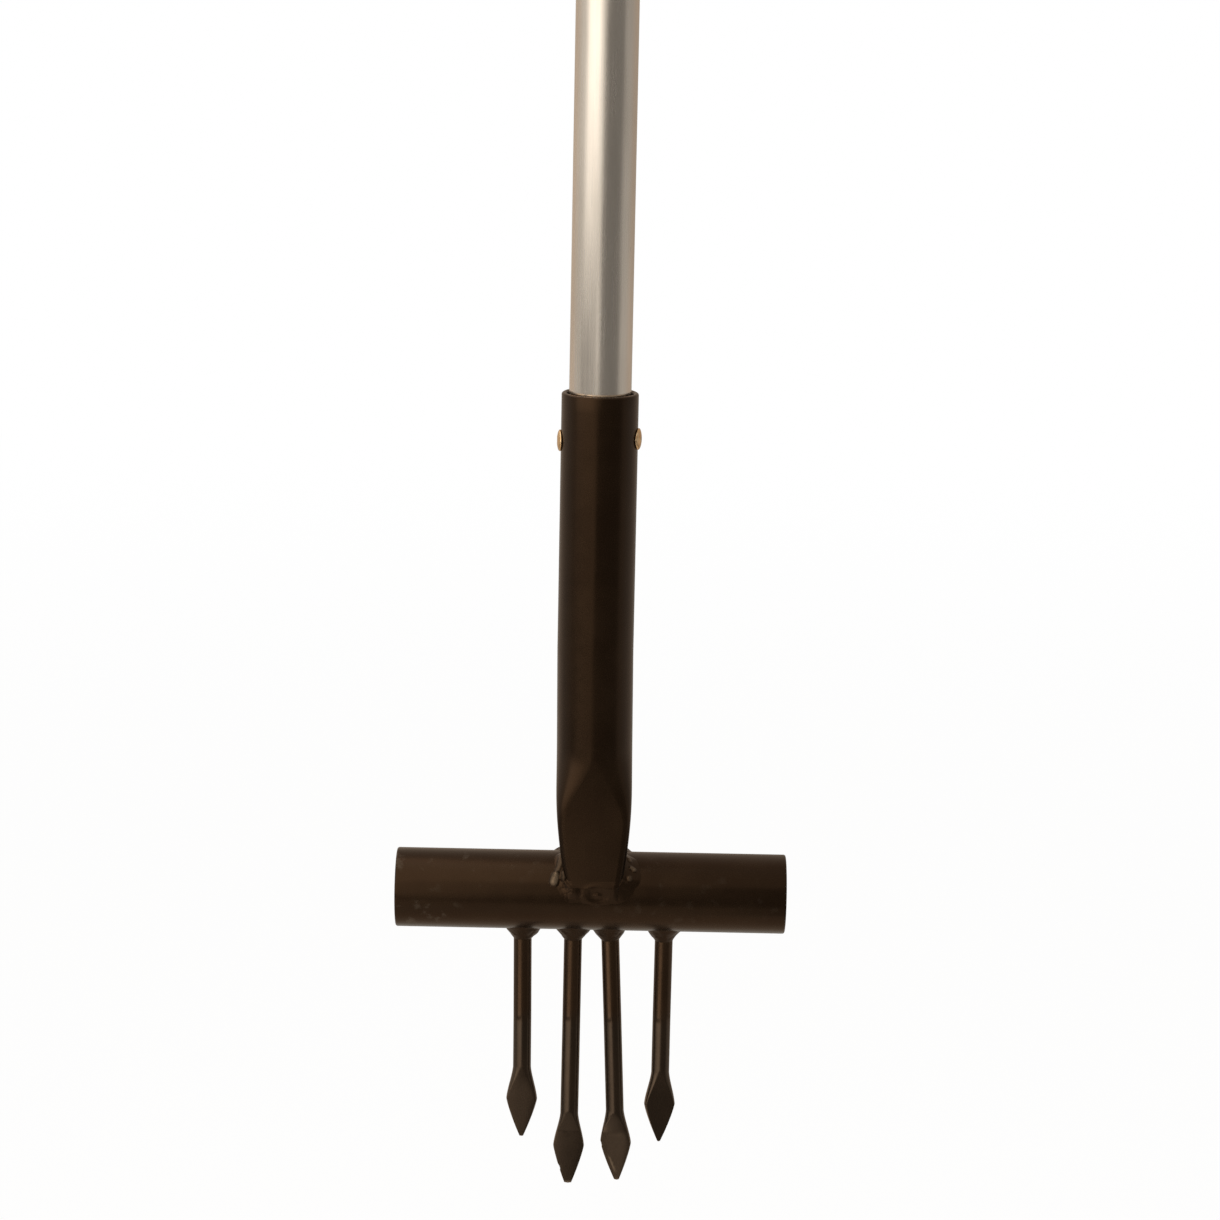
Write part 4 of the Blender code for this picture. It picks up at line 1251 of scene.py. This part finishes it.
def rivet_tree():
    """A set blind rivet drawn along +Z from its seat: domed head with a bore, and its shank.

    The sheet's rows run from the middle of the head, over its rim and down the shank. Pull is how closely
    the head bends round the socket.
    """
    sizes = {
        "Head Radius": RIVET_HEAD_RADIUS,
        "Head Height": RIVET_HEAD_HEIGHT,
        "Rim Height": RIVET_RIM_HEIGHT,
        "Bore Radius": RIVET_BORE_RADIUS,
        "Bore Depth": RIVET_BORE_DEPTH,
        "Pull": RIVET_PULL,
    }
    tree, size, finish = new_geometry_tree("Blind rivet", sizes)
    geometry, across, along = sheet(tree, RIVET_SIDES, RIVET_ROWS)
    last_angle = math.pi - math.asin(RIVET_SHANK_RADIUS / RIVET_HEAD_RADIUS)
    angle = between(along / RIVET_HEAD_SHARE, 0.0, 1.0) * last_angle
    radius = sine(angle) * size["Head Radius"]
    dome = greatest(size["Rim Height"] + (size["Head Height"] - size["Rim Height"]) * cosine(angle), 0.0)
    bore_edge = -size["Bore Radius"]
    bore = stepped(-radius, bore_edge * (1.0 + RIVET_BORE_SOFTNESS), bore_edge * (1.0 - RIVET_BORE_SOFTNESS))
    bore = bore * calculate("LESS_THAN", along, 0.5)
    down_shank = between((along - RIVET_HEAD_SHARE) / (1.0 - RIVET_HEAD_SHARE), 0.0, 1.0)
    height = dome - bore * size["Bore Depth"] - down_shank * RIVET_SHANK_LENGTH
    radius = radius * before_end(along)
    turn = across * (2 * math.pi)
    sideways = sine(turn) * radius
    pulled_round = sideways * sideways * (size["Pull"] / SOCKET_RADIUS / 2)
    geometry = moved(tree, geometry, vector(tree, cosine(turn) * radius, sideways, height - pulled_round))
    closed_off(tree, geometry, finish, flipped=True)
    return tree


def dress_rivets(plating, steel):
    shape = rivet_tree()
    for side, rivet in RIVETS.items():
        piece = grown("dressed_rivet_" + side, shape, {}, plating)
        height = BAR_RADIUS + SOCKET_TOP - rivet["drop"]
        outward = Matrix.Rotation(rivet["bearing"], 4, "Z") @ Matrix.Rotation(math.pi / 2, 4, "Y")
        seated = Matrix.Translation((0, 0, RIVET_SEAT))
        piece.data.transform(Matrix.Translation((0, 0, height)) @ outward @ seated)
        fitted(piece, "gold_plating", "rivet_" + side)
        for material_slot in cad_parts["rivet_mandrel_" + side].material_slots:
            material_slot.material = steel


# Studio


def linked_mix(tree, share, first, second, output):
    mix = tree.nodes.new("ShaderNodeMixShader")
    tree.links.new(share, mix.inputs["Fac"])
    tree.links.new(first, mix.inputs[1])
    tree.links.new(second, mix.inputs[2])
    tree.links.new(mix.outputs[0], output)


def seen_directly(tree):
    """1 for the rays that show a background: camera, glossy and transmission rays."""
    light_path = tree.nodes.new("ShaderNodeLightPath")
    camera = Term(tree, light_path.outputs["Is Camera Ray"])
    glossy = Term(tree, light_path.outputs["Is Glossy Ray"])
    transmission = Term(tree, light_path.outputs["Is Transmission Ray"])
    return greatest(greatest(camera, glossy), transmission)


def make_world():
    world = bpy.data.worlds.new("Studio")
    bpy.context.scene.world = world
    world.use_nodes = True
    tree = world.node_tree
    backdrop = tree.nodes["Background"]
    backdrop.inputs["Color"].default_value = (*WHITE, 1.0)
    backdrop.inputs["Strength"].default_value = 1.0
    ambient = tree.nodes.new("ShaderNodeBackground")
    ambient.inputs["Color"].default_value = (*AMBIENT_COLOUR, 1.0)
    ambient.inputs["Strength"].default_value = AMBIENT_LEVEL
    surface = tree.nodes["World Output"].inputs["Surface"]
    linked_mix(tree, seen_directly(tree).socket, ambient.outputs[0], backdrop.outputs[0], surface)


def make_floor():
    """A pale floor that keeps the fork's shadow, and fades into the backdrop further out."""
    bpy.ops.mesh.primitive_plane_add(size=FLOOR_SIZE, location=(0, 0, FLOOR_HEIGHT))
    floor = bpy.context.object
    floor.name = "studio_floor"
    material, tree, shader = new_material("pale_floor", 0.0, 0.9)
    shader.inputs["Base Color"].default_value = (*FLOOR_COLOUR, 1.0)
    shader.inputs["Specular IOR Level"].default_value = 0.0
    glow = tree.nodes.new("ShaderNodeEmission")
    glow.inputs["Color"].default_value = (*WHITE, 1.0)
    glow.inputs["Strength"].default_value = 1.0
    parts = tree.nodes.new("ShaderNodeSeparateXYZ")
    tree.links.new(object_place(tree), parts.inputs[0])
    x = Term(tree, parts.outputs["X"])
    y = Term(tree, parts.outputs["Y"])
    far_out = stepped(root(x * x + y * y), FLOOR_FADE_START, FLOOR_FADE_END)
    share = seen_directly(tree) * mixed(FLOOR_GLOW, 1.0, far_out)
    output = tree.nodes["Material Output"]
    linked_mix(tree, share.socket, shader.outputs[0], glow.outputs[0], output.inputs["Surface"])
    floor.data.materials.append(material)
    floor.visible_glossy = False


def make_softboxes():
    for name, softbox in SOFTBOXES.items():
        light = bpy.data.lights.new(name, "AREA")
        light.shape = "RECTANGLE"
        light.size = softbox["width"]
        light.size_y = softbox["height"]
        light.energy = softbox["power"]
        light.color = LIGHT_COLOUR
        lamp = bpy.data.objects.new(name, light)
        bpy.context.scene.collection.objects.link(lamp)
        place = Vector(softbox["place"])
        facing = (Vector(LIGHT_TARGET) - place).to_track_quat("-Z", "Y")
        lamp.matrix_world = Matrix.Translation(place) @ facing.to_matrix().to_4x4()
        lamp.visible_camera = False
        lamp.visible_glossy = False


def window(term, limits, blur):
    """1 inside the limits and 0 outside them, with a soft edge."""
    low, high = limits
    return stepped(term, low - blur, low + blur) * (1.0 - stepped(term, high - blur, high + blur))


def make_tent():
    """The light tent: a globe of paper panels, each with its own level."""
    bm = bmesh.new()
    bmesh.ops.create_uvsphere(bm, u_segments=TENT_SIDES, v_segments=TENT_ROWS, radius=TENT_RADIUS)
    mesh = bpy.data.meshes.new("light_tent")
    bm.to_mesh(mesh)
    bm.free()
    material = bpy.data.materials.new("tent_paper")
    material.use_nodes = True
    tree = material.node_tree
    tree.nodes.remove(tree.nodes["Principled BSDF"])
    parts = tree.nodes.new("ShaderNodeSeparateXYZ")
    tree.links.new(object_place(tree), parts.inputs[0])
    x, y, z = (Term(tree, parts.outputs[axis]) for axis in "XYZ")
    azimuth = calculate("ARCTAN2", x, -y) * (180 / math.pi)
    elevation = calculate("ARCTAN2", z, root(x * x + y * y)) * (180 / math.pi)
    level = azimuth * 0.0 + TENT_LEVEL
    for panel in TENT_PANELS.values():
        share = window(azimuth, panel["azimuth"], panel["blur"])
        share = share * window(elevation, panel["elevation"], panel["blur"])
        level = mixed(level, panel["level"], share)
    sideways = calculate("ABSOLUTE", azimuth)
    far_behind = stepped(sideways, *TENT_FAR_BEHIND) * stepped(-elevation, *TENT_BELOW)
    behind = stepped(sideways, *TENT_BEHIND) * (1.0 - far_behind)
    beneath = stepped(-elevation, *TENT_BENEATH)
    colour = tinted(tree, TENT_COLOUR, TENT_BACK_COLOUR, behind)
    paper = tree.nodes.new("ShaderNodeEmission")
    tree.links.new(tinted(tree, colour, TENT_LOW_COLOUR, beneath), paper.inputs["Color"])
    feed(level, paper.inputs["Strength"])
    tree.links.new(paper.outputs[0], tree.nodes["Material Output"].inputs["Surface"])
    mesh.materials.append(material)
    tent = bpy.data.objects.new("light_tent", mesh)
    bpy.context.scene.collection.objects.link(tent)
    tent.visible_camera = False
    tent.visible_diffuse = False
    tent.visible_transmission = False
    tent.visible_shadow = False


def make_camera():
    camera = bpy.data.cameras.new("camera")
    camera.sensor_fit = "HORIZONTAL"
    camera.sensor_width = SENSOR_WIDTH
    camera.lens = FOCAL_PIXELS / PHOTO_PIXELS * SENSOR_WIDTH
    camera.clip_start = CAMERA_NEAREST
    camera.clip_end = CAMERA_FARTHEST
    holder = bpy.data.objects.new("camera", camera)
    bpy.context.scene.collection.objects.link(holder)
    back = Vector(
        (
            math.sin(CAMERA_AZIMUTH) * math.cos(CAMERA_PITCH),
            -math.cos(CAMERA_AZIMUTH) * math.cos(CAMERA_PITCH),
            math.sin(CAMERA_PITCH),
        )
    )
    level_right = (-back).cross(Vector((0, 0, 1))).normalized()
    level_up = level_right.cross(-back)
    right = level_right * math.cos(CAMERA_ROLL) + level_up * math.sin(CAMERA_ROLL)
    up = level_up * math.cos(CAMERA_ROLL) - level_right * math.sin(CAMERA_ROLL)
    place = CAMERA_TARGET + back * CAMERA_DISTANCE
    turn = Matrix((right, up, back)).transposed().to_4x4()
    holder.matrix_world = Matrix.Translation(place) @ turn
    bpy.context.scene.camera = holder


def dress_fork():
    # The prong and weld coats carry painted highlights and a painted greyer reflection tint along with their
    # wear.
    prong_coat = black_coat("black_coat_prongs", 0.24, 1.68, wear_and_glint=True)
    weld_coat = black_coat("black_coat_welds", 0.29, 1.42, wear_and_glint=True)
    root_coat = black_coat("black_coat_roots", 0.36, 1.36)
    dress_shaft(drawn_aluminium())
    dress_grip(grip_rubber())
    # The socket's coat paints a thin highlight, drawn as steel, along the front of its rim.
    dress_socket(black_coat("black_coat_socket", 0.27, 1.41, rim_glint=True))
    dress_bar(black_coat("black_coat_bar", 0.26, 1.41, smudged=1.0))
    dress_socket_weld("socket_weld_front", -1, FRONT_BEADS, FRONT_CRATER, weld_coat)
    dress_socket_weld("socket_weld_back", 1, BACK_BEADS, None, weld_coat)
    dress_prongs(prong_coat, root_coat)
    dress_rivets(gold_plating(), bare_steel())


def make_studio():
    bpy.context.scene.view_settings.view_transform = "Standard"
    make_camera()
    make_world()
    make_floor()
    make_tent()
    make_softboxes()


dress_fork()
make_studio()
